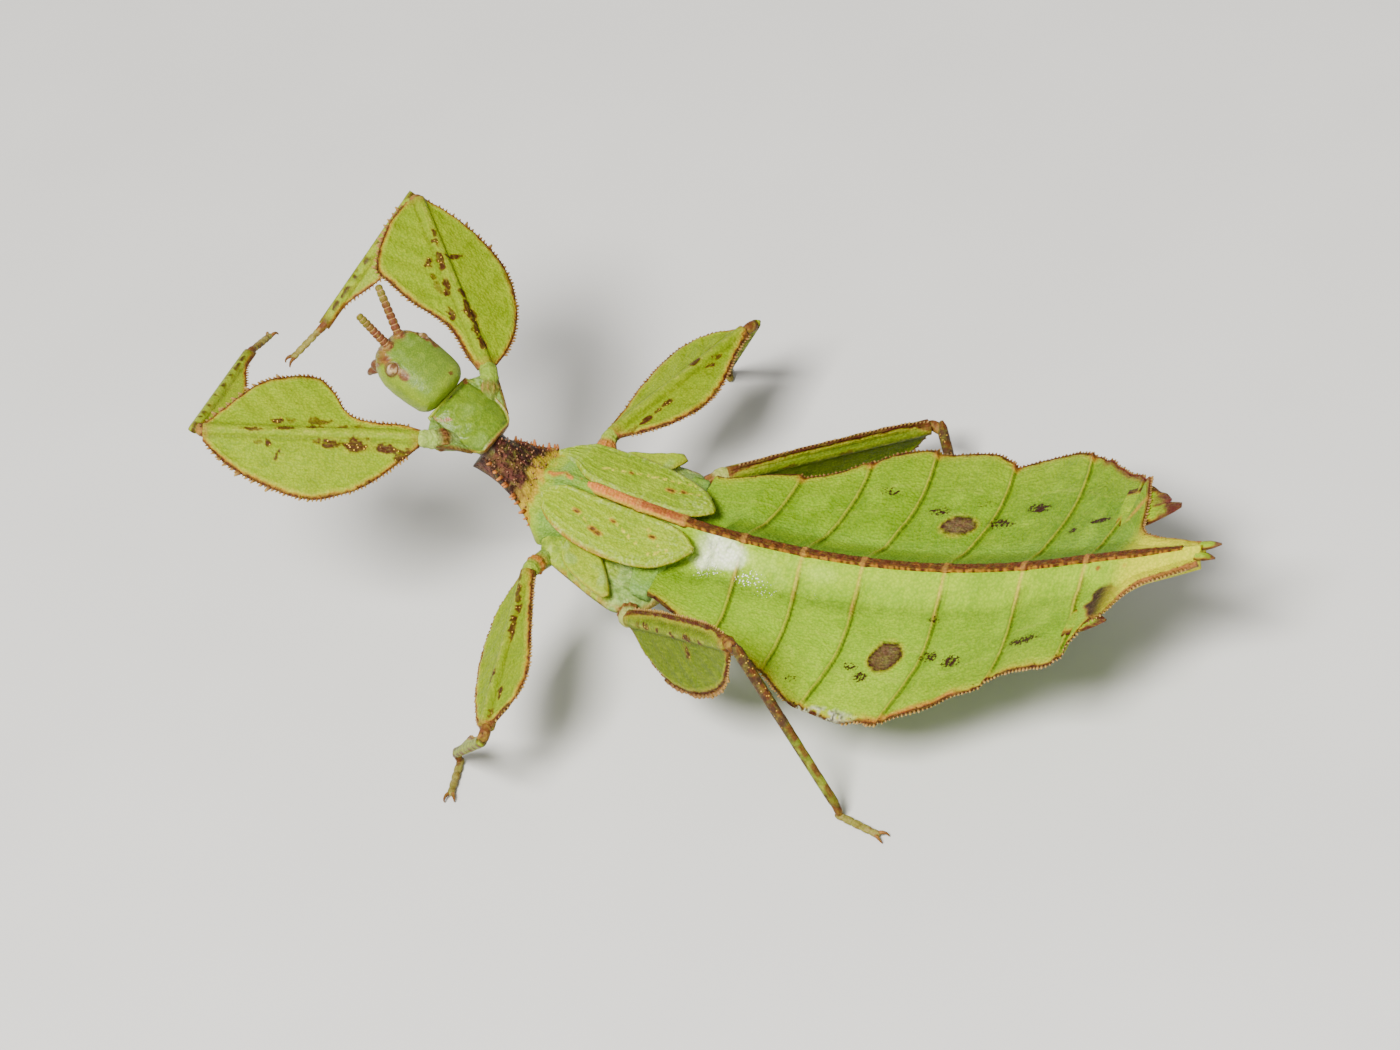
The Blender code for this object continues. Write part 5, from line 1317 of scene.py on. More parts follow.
def pad_shape(side):
    """One fore pad with its raised veins."""
    front = PAD_FRONT[side]
    length = front - PAD_REAR

    def shape(t, v, face):
        s = front - length * t
        inner, outer = eased(PAD_INNER[side], t), eased(PAD_OUTER[side], t)
        y = inner + (outer - inner) * v
        vein = np.zeros_like(t)
        for base, end in PAD_VEINS:
            way = base + (end - base) * t
            vein = np.maximum(vein, ridge_of((v - way) * (outer - inner), 0.085))
        dome = 0.06 * np.sin(math.pi * v) + 0.035 * vein * (1.0 - 0.5 * t)
        dome += 0.03 * cloud(s, side * y, 0.35, 81) + 0.02 * cloud(s, side * y, 0.16, 82)
        fall = y - 0.8
        z = np.minimum(back(s), PAD_HEIGHT) - 0.2 - 0.13 * fall - 0.007 * fall * fall
        margin = np.minimum(np.minimum(v, 1.0 - v) * (outer - inner), (1.0 - t) * length)
        top = dome - 0.14 * step_down(margin, 0.0, 0.18) + 0.03 * ridge_of(margin - 0.28, 0.1)
        z = z + np.where(face > 0.5, top, -0.28)
        spots = points_of(s, side * y, z)
        way = points_of(length * t, v * 4.0, face)
        return spots, {"way": way, "vein": vein, "margin": margin, "side": side}
    return shape


# %% Paint of the fore pads
def pad_paint(spots, facts, t, v, face):
    """Green with faint veins, orange-brown dots and an orange-brown outer edge; the left pad is painted
    lighter, as painted light.
    """
    x, y = spots[:, 0], spots[:, 1]
    vein, margin, side = pick(facts, "vein margin side")
    rough = cloud(x, y, 0.3, 83)
    coat = Paint(len(t), (0.235, 0.325, 0.008), 0.0, 0.0, 0.5)
    # painted light: the left pad, on the side of the light, is painted lighter
    coat.lay(np.full_like(t, 0.45 if side > 0 else 0.0), (0.36, 0.44, 0.01))
    coat.lay(step_up(cloud(x, y, 1.2, 84), -0.1, 0.8) * 0.4, (0.36, 0.44, 0.035))
    coat.lay(step_up(-cloud(x, y, 0.9, 85), 0.0, 0.8) * 0.4, (0.2, 0.29, 0.012))
    coat.lay(vein * 0.22, (0.42, 0.48, 0.04))
    coat.lay(ridge_of(margin - 0.22, 0.12) * 0.3, (0.42, 0.46, 0.05))
    coat.lay(step_down(margin + 0.05 * rough, 0.03, 0.12) * 0.5, (0.34, 0.2, 0.02))
    outer = step_up(v, 0.93, 0.99) * step_down(t, 0.45, 0.6)
    coat.lay(outer * (0.6 + 0.4 * rough), (0.38, 0.14, 0.025))
    netted = np.maximum(step_up(t, 0.72, 0.95), step_down(margin, 0.3, 0.8))
    net = ridge_of(cloud(x, y, 0.26, 88), 0.14) * netted
    coat.lay(net * 0.4, (0.6, 0.64, 0.26))
    for ends in PAD_BEADS[side]:
        row = step_down(path_distance(x, y + 0.06 * rough, ends), 0.07, 0.17)
        coat.lay(row * step_up(np.sin(x * 13.0 + 2.0 * rough), -0.2, 0.4) * 0.85, (0.6, 0.5, 0.05))
    for along, across, size in PAD_SPOTS[side]:
        halo = oval(x + 0.08 * rough, y, (along, across), (size * 1.5, size), 0.8)
        coat.lay(halo * 0.9, (0.4, 0.19, 0.02))
        middle = oval(x, y + 0.06 * rough, (along, across), (size * 0.9, size * 0.5), 0.6)
        coat.lay(middle, (0.13, 0.036, 0.01))
    pale = oval(x, y, (21.1, -1.5), (0.6, 0.5), 0.8)
    coat.lay(pale * 0.6, (0.3, 0.42, 0.22))
    coat.fleck(step_up(t, 0.75, 0.95) * 0.8, pale=0.3, dark=0.15)
    return coat


for word, side in SIDES:
    settle("skin_pad_" + word, leaf_grid(190, 90), pad_shape(side), pad_paint, pad_skin,
           ("forewing_pad_" + word,))
print("fore pads with", len(PAD_VEINS), "veins each")

# %% Hind pads that peep out below
HIND_PAD_FRONT = 19.3
HIND_PAD_INNER = 2.9
HIND_PAD_OUTER = ((0.0, 3.9), (0.06, 4.75), (0.2, 5.4), (0.53, 6.1), (0.9, 6.65), (1.0, 6.35))


def hind_pad_shape(side):
    """A thin plate beside the thorax; it runs in under the fore pad."""
    def shape(t, v, face):
        s = HIND_PAD_FRONT - (4.0 - 2.2 * (1.0 - v) ** 1.3) * t
        y = HIND_PAD_INNER + (eased(HIND_PAD_OUTER, t) - HIND_PAD_INNER) * v
        crinkle = 0.06 * cloud(s, side * y, 0.45, 86)
        drop = 1.75 + 0.12 * v + 0.1 * np.sin(t * 5.0)
        margin = np.minimum((1.0 - v) * 3.0, np.minimum(t, 1.0 - t) * 4.0)
        top = crinkle - 0.16 * step_down(margin, 0.0, 0.2)
        z = back(s) - drop + np.where(face > 0.5, top, -0.32)
        spots = points_of(s, side * y, z)
        return spots, {"way": points_of(4.0 * t, v * 3.0, face), "margin": margin}
    return shape


def hind_pad_paint(spots, facts, t, v, face):
    """Yellow-green with milky patches and a thin orange edge."""
    milky = cloud(spots[:, 0], spots[:, 1], 0.8, 87)
    coat = Paint(len(t), (0.34, 0.4, 0.022), 0.0, 0.0, 0.5)
    coat.lay(step_up(milky, 0.0, 0.6) * 0.5, (0.34, 0.46, 0.16))
    coat.lay(step_down(facts["margin"], 0.03, 0.14) * 0.5, (0.36, 0.24, 0.03))
    return coat


for word, side in SIDES:
    settle("skin_hind_pad_" + word, leaf_grid(50, 40), hind_pad_shape(side), hind_pad_paint, pad_skin,
           ("hindwing_pad_" + word,))

# %% [markdown]
# ## Soft skin at the flanks
#
# Below the pads the body wall is thin, folded and half clear. A low sheet on
# each side carries it from the collar to the abdomen, so that no daylight
# shows between the pads, the hips and the back.

# %% Sheets at the flanks
FLANK = (21.3, 12.5)          # front and rear end
FLANK_INNER = 2.2
FLANK_OUTER = ((12.5, 3.2), (13.0, 4.6), (13.6, 5.6), (15.1, 6.5), (16.6, 6.2), (18.2, 5.6), (20.0, 4.9),
               (20.9, 4.4), (21.3, 3.4))


def flank_shape(side):
    """A folded sheet from under the pad out to the hips."""
    def shape(t, v, face):
        s = FLANK[0] - (FLANK[0] - FLANK[1]) * t
        outer = eased(FLANK_OUTER, s)
        y = FLANK_INNER + (outer - FLANK_INNER) * v
        folds = 0.1 * np.sin(s * 3.1 + 1.6 * cloud(s, side * y, 0.9, 121)) * step_up(v, 0.1, 0.5)
        folds += 0.05 * cloud(s, side * y, 0.35, 122)
        z = np.minimum(back(s), PAD_HEIGHT) - 2.15 - 0.15 * v - 0.75 * v ** 4 + folds * (face > 0.5)
        z = z - 0.3 * (face < 0.5)
        spots = points_of(s, side * y, z)
        return spots, {"way": points_of(s, y, face), "s": s}
    return shape


def flank_paint(spots, facts, t, v, face):
    """Yellow-green in front, bluish and half clear towards the hind hips."""
    x, y = spots[:, 0], spots[:, 1]
    fold = cloud(x, y, 0.45, 123)
    coat = Paint(len(t), (0.3, 0.38, 0.022), 0.0, 0.0, 0.6)
    clear = step_down(facts["s"] + 0.5 * fold, 15.4, 16.4)
    coat.lay(clear * 0.75, (0.26, 0.38, 0.14))
    coat.lay(step_up(-fold, 0.1, 0.7) * 0.6, (0.1, 0.16, 0.02))
    coat.lay(ridge_of(fold - 0.1, 0.12) * 0.5, (0.44, 0.5, 0.16))
    coat.lay(step_up(v, 0.9, 1.0) * step_up(fold, -0.3, 0.4) * 0.7, (0.34, 0.13, 0.03))
    return coat


for word, side in SIDES:
    settle("flank_" + word, leaf_grid(110, 50), flank_shape(side), flank_paint, leaf_skin)
print("flanks from", FLANK[0], "to", FLANK[1])

# %% [markdown]
# ## The legs
#
# A leg has a hip, a thigh, a shin and a foot. The thigh is the show piece: a
# round midrib with a thin blade on each side, so that it looks like a leaf with
# its stalk. Its outline tables give the half width ahead of the rib and behind
# it. The leg points are the same as the solid's, and short round knees and
# ankles close the places where two stiff parts meet.

# %% Leg points and outlines
LEGS = {                      # hip, thigh root, knee, ankle, toe, way the thigh's flat side looks
    "fore_left": ((27.75, 1.8, 7.95), (27.75, 2.71, 9.13), (41.06, 8.0, 12.86),
                  (43.2, -1.98, 10.5), (43.6, -4.9, 9.3), (-0.343, 0.218, 0.914)),
    "fore_right": ((26.75, -3.0, 7.95), (26.38, -3.75, 9.13), (35.43, -14.24, 14.32),
                   (39.9, -5.97, 9.64), (41.6, -3.7, 8.5), (-0.48, 0.02, 0.877)),
    "mid_left": ((20.6, 4.3, 1.2), (20.7, 6.3, 2.0), (18.24, 19.47, 0.32),
                 (24.4, 15.15, -6.5), (23.7, 18.1, -7.3), (0.456, 0.196, 0.868)),
    "mid_right": ((20.6, -4.3, 1.2), (20.7, -6.3, 2.0), (15.75, -18.84, 1.33),
                  (21.4, -22.3, -6.5), (22.9, -24.9, -7.3), (0.0, 0.0, 1.0)),
    "hind_left": ((14.9, 4.9, -1.75), (13.8, 7.2, -0.4), (2.4, 12.95, 4.9),
                  (-2.7, 14.9, -6.5), (-5.95, 16.0, -7.3), (0.585, 0.767, 0.266)),
    "hind_right": ((14.7, -4.9, -1.75), (13.4, -6.9, -1.0), (2.45, -16.4, -3.7),
                   (-3.9, -6.4, -6.5), (-7.1, -7.6, -7.3), (0.585, -0.767, 0.266)),
}
THIGH_START = {"fore": 0.65, "mid": 0.42, "hind": 0.45}
THIGH_SHORT = {"fore": 0.45, "mid": 1.05, "hind": 0.65}
SHIN_BEYOND = {"fore": 0.25, "mid": 0.15, "hind": 0.25}
THIGH_AHEAD = {
    "fore_left": ((0.0, 0.6), (0.077, 0.93), (0.268, 1.19), (0.352, 1.88), (0.415, 3.32), (0.493, 4.47),
                  (0.606, 4.55), (0.732, 4.03), (0.796, 3.4), (0.915, 1.7), (1.0, 0.5)),
    "fore_right": ((0.0, 0.6), (0.07, 0.9), (0.268, 1.38), (0.437, 2.94), (0.585, 3.9), (0.676, 4.35),
                   (0.887, 2.63), (1.0, 0.9)),
    "mid_left": ((0.0, 0.6), (0.07, 1.5), (0.2, 2.4), (0.42, 2.85), (0.64, 2.5), (0.9, 1.3), (1.0, 0.52)),
    "mid_right": ((0.0, 0.55), (0.16, 1.1), (0.4, 2.15), (0.65, 2.8), (0.86, 2.2), (1.0, 0.52)),
    "hind": ((0.0, 0.6), (0.15, 0.8), (0.4, 0.98), (0.85, 0.95), (1.0, 0.52)),
}
THIGH_BEHIND = {
    "fore_left": ((0.0, 0.6), (0.063, 1.48), (0.204, 3.17), (0.317, 4.03), (0.486, 4.56), (0.676, 3.8),
                  (0.873, 2.39), (1.0, 0.75)),
    "fore_right": ((0.0, 0.7), (0.07, 1.79), (0.176, 2.92), (0.338, 3.81), (0.556, 4.0), (0.746, 3.17),
                   (0.9, 1.79), (1.0, 0.5)),
    "mid_left": ((0.0, 0.55), (0.22, 1.2), (0.57, 2.3), (0.73, 2.6), (0.86, 2.2), (0.96, 1.1), (1.0, 0.52)),
    "mid_right": ((0.0, 0.6), (0.12, 1.7), (0.28, 2.7), (0.44, 3.1), (0.62, 2.6), (0.88, 1.0), (1.0, 0.52)),
    "hind": ((0.0, 0.6), (0.08, 2.2), (0.2, 3.5), (0.4, 4.2), (0.64, 4.0), (0.84, 3.0),
             (0.95, 1.6), (1.0, 0.52)),
}
SHIN_LOBE = {
    "fore": ((0.0, 0.42), (0.12, 0.55), (0.24, 1.15), (0.4, 1.75), (0.62, 1.2), (0.8, 0.5), (1.0, 0.42)),
    "mid": ((0.0, 0.45), (0.5, 0.55), (0.8, 0.95), (1.0, 0.45)),
    "hind": ((0.0, 0.45), (0.5, 0.42), (1.0, 0.42)),
}


def unit(vector):
    """A direction of length one."""
    vector = np.asarray(vector, dtype=float)
    return vector / np.linalg.norm(vector)


def leg_points(leg):
    """Hip, thigh root, knee, ankle and toe."""
    return [np.array(point) for point in LEGS[leg][:5]]


def leg_frame(leg):
    """Axis, ahead direction and upward normal of a thigh's blade."""
    _, root, knee, _, _, up = LEGS[leg]
    axis = unit(np.subtract(knee, root))
    across = unit(np.cross(up, axis))
    if (leg.startswith("hind") and across[2] < 0) or (not leg.startswith("hind") and across[0] < 0):
        across = -across
    normal = unit(np.cross(axis, across))
    if np.dot(normal, up) < 0:
        normal = -normal
    return axis, across, normal


def shin_line(leg):
    """Start and direction of a shin, just beyond the knee."""
    _, _, knee, ankle, _ = leg_points(leg)
    start = knee + leg_frame(leg)[0] * SHIN_BEYOND[leg.split("_")[0]]
    return start, unit(ankle - start)


print("thighs:", {leg: round(float(np.linalg.norm(np.subtract(*LEGS[leg][1:3]))), 1) for leg in LEGS})


# %% Shape of a thigh
RIB_COLUMNS = 0.22            # share of the columns that cover the midrib
RIB_HALF = 0.42


def thigh_shape(leg):
    """A round midrib with a thin blade on each side."""
    pair = leg.split("_")[0]
    outline = pair if pair == "hind" else leg
    axis, ahead, normal = leg_frame(leg)
    root, knee = np.array(LEGS[leg][1]), np.array(LEGS[leg][2])
    start = root + axis * (THIGH_START[pair] - 0.15)
    span = knee - axis * (THIGH_SHORT[pair] - 0.1) - start
    length = float(np.linalg.norm(span))

    def shape(t, v, face):
        side, reach = both_sides(v)
        edge = np.where(side > 0, eased(THIGH_AHEAD[outline], t), eased(THIGH_BEHIND[outline], t))
        inner = np.clip(reach / RIB_COLUMNS, 0.0, 1.0)
        outer = np.clip((reach - RIB_COLUMNS) / (1.0 - RIB_COLUMNS), 0.0, 1.0)
        rib_half = np.minimum(RIB_HALF, edge * 0.9)
        y = rib_half * inner + (edge - rib_half) * outer
        rib = 0.27 * np.sqrt(np.clip(1.0 - (y / 0.4) ** 2, 0.0, 1.0))
        blade = 0.27 - 0.13 * step_up(outer, 0.0, 0.6) - 0.1 * step_up(outer, 0.9, 1.0)
        bank = 0.045 * ridge_of((edge - y) - 0.42, 0.13) * (outer > 0.3)
        wave = 0.1 * np.sin(t * 7.0 + side * 1.3) * (y / 4.0) ** 2
        relief = 0.03 * cloud(length * t, side * y, 0.9, 91) + 0.02 * cloud(length * t, side * y, 0.3, 92)
        relief += 0.03 * np.sin((length * t - y * 0.9) * 2.0 * math.pi / 1.9) * step_up(y, 0.5, 1.2)
        thick = blade + rib + (bank + relief) * step_up(y, 0.3, 0.8)
        sag = 0.02 * y * y - wave
        lift = np.where(face > 0.5, thick, -thick) - sag
        spots = start + np.outer(t, span) + np.outer(side * y, ahead) + np.outer(lift, normal)
        facts = {"way": points_of(length * t, side * y, face), "a": length * t, "y": side * y,
                 "edge": edge, "length": length}
        return spots, facts

    return shape


# %% [markdown]
# The thighs' marks are few and definite, so they are listed by name: dark
# dashes that run beside the midrib, and single blots further out. Each mark is
# its place along the thigh, its place across it, its two half sizes, all in
# millimetres, and its strength. A close look shows that each one is a cluster
# of red-brown cells with yellow specks, so small noise breaks it up.

# %% Marks and paint of the thighs
MARKS = {
    "fore_left": (
        (9.2, 0.79, 0.35, 0.2, 1.0), (8.3, 0.82, 0.25, 0.15, 0.5), (6.6, 0.86, 0.7, 0.2, 0.7),
        (10.7, 0.01, 0.6, 0.12, 0.8), (8.7, 0.14, 0.6, 0.12, 0.8), (7.0, 0.34, 0.3, 0.12, 0.8),
        (6.3, 0.41, 0.25, 0.12, 0.7), (5.1, 0.51, 0.3, 0.12, 0.7), (4.0, 0.62, 0.3, 0.12, 0.5),
        (10.4, -0.79, 0.2, 0.15, 0.5), (9.8, -0.86, 0.2, 0.2, 0.9), (9.0, -1.68, 0.15, 0.3, 0.9),
        (6.5, -0.63, 0.2, 0.15, 0.7), (5.7, -0.75, 0.5, 0.3, 1.0), (4.0, -0.82, 0.65, 0.4, 1.0),
        (2.2, -0.93, 0.6, 0.3, 0.9), (0.9, -1.43, 0.6, 0.45, 0.8)),
    "fore_right": (
        (10.9, 0.01, 0.3, 0.14, 0.8), (10.1, 0.13, 0.3, 0.14, 0.9), (8.8, 0.22, 0.35, 0.15, 0.9),
        (8.2, 0.29, 0.3, 0.15, 0.9), (6.8, 0.48, 0.4, 0.16, 0.9), (6.1, 0.61, 0.3, 0.15, 0.9),
        (4.5, 0.88, 0.4, 0.2, 0.9), (8.8, 1.06, 0.3, 0.25, 1.0), (7.7, 1.1, 0.2, 0.15, 0.7),
        (6.7, 1.04, 0.6, 0.15, 0.5), (8.9, -0.77, 0.17, 0.55, 1.0), (5.8, -0.31, 0.3, 0.2, 0.9),
        (5.0, -0.26, 0.3, 0.2, 0.9), (4.1, -0.28, 0.5, 0.35, 1.0), (3.4, -0.26, 0.3, 0.25, 0.9),
        (2.7, -0.17, 0.3, 0.25, 0.9), (1.6, -0.27, 0.4, 0.25, 0.9)),
    "mid_left": (
        (0.2, 0.15, 0.3, 0.15, 0.7), (0.8, 0.03, 0.3, 0.15, 0.7), (1.7, -0.16, 0.3, 0.15, 0.8),
        (2.4, -0.25, 0.3, 0.15, 0.8), (3.3, -0.43, 0.35, 0.15, 0.9), (4.1, -0.33, 0.3, 0.15, 0.9),
        (5.2, -0.46, 0.6, 0.15, 0.9), (8.4, 0.02, 0.3, 0.15, 0.9), (8.9, 0.2, 0.2, 0.12, 0.8),
        (10.1, -0.79, 0.4, 0.15, 0.9), (11.5, -0.53, 0.25, 0.12, 0.7)),
    "mid_right": (
        (7.8, 0.14, 0.35, 0.25, 1.0), (8.5, -0.79, 0.25, 0.2, 0.9), (9.5, 0.35, 0.3, 0.15, 0.5),
        (4.1, -1.08, 0.4, 0.15, 0.9), (3.3, -1.07, 0.3, 0.15, 0.8), (2.3, -1.1, 0.45, 0.17, 0.9),
        (1.0, -0.98, 0.4, 0.15, 0.5), (9.4, -0.58, 0.3, 0.15, 0.8)),
    "hind_left": (
        (2.0, 0.0, 0.3, 0.2, 0.5), (3.1, 0.0, 0.3, 0.2, 0.9), (4.6, 0.0, 0.25, 0.2, 1.0),
        (6.6, -0.11, 0.3, 0.18, 0.9), (8.5, -0.12, 0.4, 0.25, 1.0), (10.1, -0.19, 0.3, 0.18, 0.9),
        (7.6, -1.16, 0.25, 0.4, 1.0)),
    "hind_right": ((4.0, 0.0, 0.4, 0.15, 0.5), (8.0, 0.0, 0.4, 0.15, 0.5)),
}
THIGH_BASE = {
    "fore": (0.225, 0.29, 0.005),
    "mid": (0.205, 0.265, 0.003),
    "hind": (0.11, 0.15, 0.004),
}


def thigh_paint(leg):
    """Lime blades, a deeper rib, named marks and toothed brown rims."""
    base = THIGH_BASE[leg.split("_")[0]]

    def paint(spots, facts, t, v, face):
        a, y, edge, length = pick(facts, "a y edge length")
        rough = cloud(a, y, 0.32, 95)
        fine = cloud(a, y, 0.17, 98)
        coat = Paint(len(t), base, 0.04, 0.0, 0.5)
        coat.lay((0.5 + 0.5 * cloud(a, y, 1.8, 96)) * 0.3, tuple(1.35 * part for part in base))
        coat.lay(step_up(-cloud(a, y, 1.1, 99), 0.0, 0.8) * 0.3, tuple(0.65 * part for part in base))
        coat.lay(ridge_of(np.abs(y) - 0.48, 0.14) * 0.55, tuple(0.5 * part for part in base))
        coat.lay(ridge_of(y, 0.3) * 0.4, (0.24, 0.27, 0.018))
        dashes = ridge_of(y + 0.05, 0.1) * step_up(np.sin(a * 5.5 + 2.0 * rough), 0.1, 0.7)
        coat.lay(dashes * 0.35, (0.5, 0.44, 0.08))
        margin = (edge - np.abs(y)) + 0.06 * rough + 0.04 * fine
        coat.lay(step_down(margin, 0.22, 0.6) * 0.55, (0.44, 0.38, 0.03))
        coat.lay(step_down(margin, 0.14, 0.32) * 0.85, RIM_ORANGE)
        wide = 0.1 if leg.startswith("hind") else 0.0
        coat.lay(step_down(margin, 0.08 + wide, 0.2 + wide), (0.085, 0.016, 0.008))
        for along, across, half_a, half_y, strength in MARKS[leg]:
            reach = np.hypot((a + 0.2 * rough - along) / half_a, (y + 0.08 * fine - across) / half_y)
            blot = step_down(reach + 0.4 * fine, 0.95, 1.35)
            coat.lay(step_down(reach, 0.9, 2.0) * 0.35 * strength, (0.3, 0.22, 0.01))
            coat.lay(blot * min(1.0, 1.15 * strength), (0.07, 0.019, 0.006))
            coat.fleck(blot, pale=0.55 * strength)
        ends = step_down(a, 0.0, 0.9) + step_up(a, length - 0.8, length)
        coat.lay(ends * (0.45 + 0.4 * rough), (0.26, 0.1, 0.028))
        coat.fleck(step_down(margin, 0.15, 0.5), dark=0.35, grain=0.9)
        return coat

    return paint


# %% Shape and paint of a shin
def shin_shape(leg):
    """A slender round shaft with a small toothed blade on its inner side."""
    pair = leg.split("_")[0]
    _, root, knee, ankle, _ = leg_points(leg)
    start, axis = shin_line(leg)
    side_way = unit(np.cross(axis, leg_frame(leg)[2]))
    if np.dot(side_way, root - knee) < 0:
        side_way = -side_way
    normal = unit(np.cross(axis, side_way))
    span = ankle - start
    length = float(np.linalg.norm(span))

    def shape(t, v, face):
        lobe = np.maximum(eased(SHIN_LOBE[pair], t), 0.4)
        shaft = np.clip(v / 0.62, 0.0, 1.0)
        outer = np.clip((v - 0.62) / 0.38, 0.0, 1.0)
        y = -0.4 + 0.76 * shaft + (lobe - 0.36) * outer
        turn = np.clip((y + 0.02) / 0.4, -1.0, 1.0)
        round_part = 0.36 * np.sqrt(np.clip(1.0 - turn ** 2, 0.0, 1.0))
        thick = np.maximum(round_part, 0.11 - 0.05 * outer) * (1.0 - 0.2 * t)
        close = step_up(np.minimum(t, 1.0 - t), 0.0, 0.03)
        thick = thick * (0.55 + 0.45 * close)
        relief = 0.02 * cloud(length * t, y, 0.3, 101)
        lift = np.where(face > 0.5, thick + relief, -thick)
        spots = start + np.outer(t, span) + np.outer(y, side_way) + np.outer(lift, normal)
        facts = {"way": points_of(length * t, y, face), "a": length * t, "y": y, "lobe": lobe}
        return spots, facts

    return shape


def shin_paint(leg):
    """Green-yellow with a row of dark spots and an orange lobe rim."""
    hind = leg.startswith("hind")

    def paint(spots, facts, t, v, face):
        a, y, lobe = pick(facts, "a y lobe")
        rough = cloud(a, y, 0.3, 103)
        base = (0.15, 0.17, 0.016) if hind else (0.27, 0.32, 0.014)
        coat = Paint(len(t), base, 0.1, 0.0, 0.6)
        coat.lay(step_up(rough, 0.0, 0.7) * 0.4, (0.34, 0.33, 0.03))
        spots_on = step_up(np.sin(a * 5.0 + 2.0 * rough), -0.1, 0.5)
        row = ridge_of(y + 0.06, 0.22) * spots_on
        coat.lay(row * 0.95, (0.06, 0.016, 0.007))
        if hind:
            upper = step_down(t + 0.05 * rough, 0.46, 0.58)
            coat.lay(upper * 0.92, (0.07, 0.02, 0.02))
            coat.fleck(upper, dark=0.3, pale=0.45, grain=0.9)
        rim = (lobe - y) + 0.05 * rough
        coat.lay(step_down(rim, 0.12, 0.28) * 0.8, RIM_ORANGE)
        coat.lay(step_down(rim, 0.06, 0.16), RED_BROWN)
        edge = step_down(y, -0.38, -0.3)
        coat.lay(edge * step_up(np.sin(a * 4.0 + 1.5 * rough), -0.3, 0.3) * 0.9, (0.13, 0.036, 0.014))
        coat.lay(step_up(t, 0.88, 1.0) * 0.8, (0.12, 0.045, 0.015))
        return coat

    return paint


# %% Rings and tones of the hips and feet
HIP_RING = {"fore": 0.33, "mid": 0.45, "hind": 0.45}   # place of the knobbly ring along the hip
HIP_KNOBS = 69.0              # turns of the wave that makes the knobs
HIP_TONES = {                 # soft root, knobbly ring, ring beside the blade
    "fore_left": ((0.22, 0.29, 0.09), (0.15, 0.05, 0.02), (0.4, 0.48, 0.13)),
    "fore_right": ((0.17, 0.22, 0.04), (0.19, 0.17, 0.03), (0.26, 0.35, 0.04)),
    "mid": ((0.24, 0.33, 0.05), (0.46, 0.15, 0.028), (0.32, 0.4, 0.04)),
    "hind": ((0.42, 0.4, 0.12), (0.2, 0.055, 0.02), (0.48, 0.46, 0.15)),
}


def hip_ring(pair):
    """Folds round the hip, and knobs on its brown ring."""
    def ring(t, v):
        knobs = 0.1 * ridge_of(t - HIP_RING[pair], 0.05) * (1.0 + 0.8 * np.sin(v * HIP_KNOBS))
        folds = 0.07 * ridge_of(t - 0.44, 0.02) + 0.06 * ridge_of(t - 0.58, 0.03)
        folds -= 0.05 * ridge_of(t - 0.4, 0.02)
        return 1.0 + knobs + folds + 0.02 * np.sin(v * 40.0)
    return ring


def hip_paint(leg):
    """A soft root, a brown knobbly ring and a pale ring beside the blade."""
    pair = leg.split("_")[0]
    root_tone, ring_tone, end_tone = HIP_TONES.get(leg, HIP_TONES.get(pair))
    place = HIP_RING[pair]

    def paint(spots, facts, t, v, face):
        rough = cloud(v * 12.0, t * 20.0, 0.8, 131)
        coat = Paint(len(t), root_tone, 0.05, 0.0, 0.7)
        coat.lay(step_up(rough, 0.0, 0.8) * 0.4, tuple(0.5 * part for part in root_tone))
        coat.lay(step_up(t + 0.02 * rough, place + 0.05, place + 0.09), end_tone)
        coat.lay(ridge_of(t - 0.58, 0.025) * 0.5, tuple(0.5 * part for part in end_tone))
        brown = ridge_of(t - place + 0.01 * rough, 0.055)
        coat.lay(brown * 1.3, ring_tone)
        coat.lay(brown * step_up(np.sin(v * HIP_KNOBS), 0.4, 0.9) * 0.6, (0.44, 0.2, 0.08))
        coat.fleck(brown, dark=0.3, grain=1.0)
        return coat

    return paint


def foot_ring(t, v):
    """Five little joints, each wider at its end."""
    return 0.74 + 0.26 * np.abs(np.sin(math.pi * 5.0 * t)) ** 0.6


brown_joint = plain_paint((0.16, 0.05, 0.018), (0.3, 0.15, 0.035), 0.35, 0.0, 0.8, 0.25)
foot_paint = plain_paint((0.26, 0.2, 0.06), (0.16, 0.085, 0.026), 0.25, 0.0, 0.6, 0.4)
claw_paint = plain_paint((0.16, 0.05, 0.02), (0.3, 0.12, 0.04), 0.0, 0.0, 0.2, 0.5)
BALL_RADII = ((0.0, 0.0), (0.06, 0.6), (0.25, 0.95), (0.5, 1.0), (0.75, 0.95), (0.94, 0.6), (1.0, 0.0))


# %% Hips and knees
HIP_THICK = {"fore": 0.64, "mid": 0.6, "hind": 0.7}


def add_hip(leg, pair):
    """The hip, from inside the body to the root of the thigh."""
    axis, thick = leg_frame(leg)[0], HIP_THICK[pair]
    hip, root = leg_points(leg)[:2]
    if pair == "fore":
        side = dict(SIDES)[leg.split("_")[1]]
        points = [turned(1.4, side * 1.2, -0.5), turned(2.5, side * 2.25, 0.05), root, root + axis * 0.6,
                  root + axis * 1.5]
    else:
        inward = unit(hip - root)
        points = [hip + inward * 0.8, hip, hip + (root - hip) * 0.8, root + axis * 0.25, root + axis * 1.2]
    radii = ((0.0, 0.0), (0.04, 0.55 * thick), (0.2, thick), (0.5, 0.92 * thick), (0.72, 0.82 * thick),
             (0.8, 0.44), (0.93, 0.3), (1.0, 0.0))
    limb("hip_" + leg, (90, 44), points, radii, hip_paint(leg), leaf_skin, ("coxa_" + leg,), "leaf_green",
         ring=hip_ring(pair))


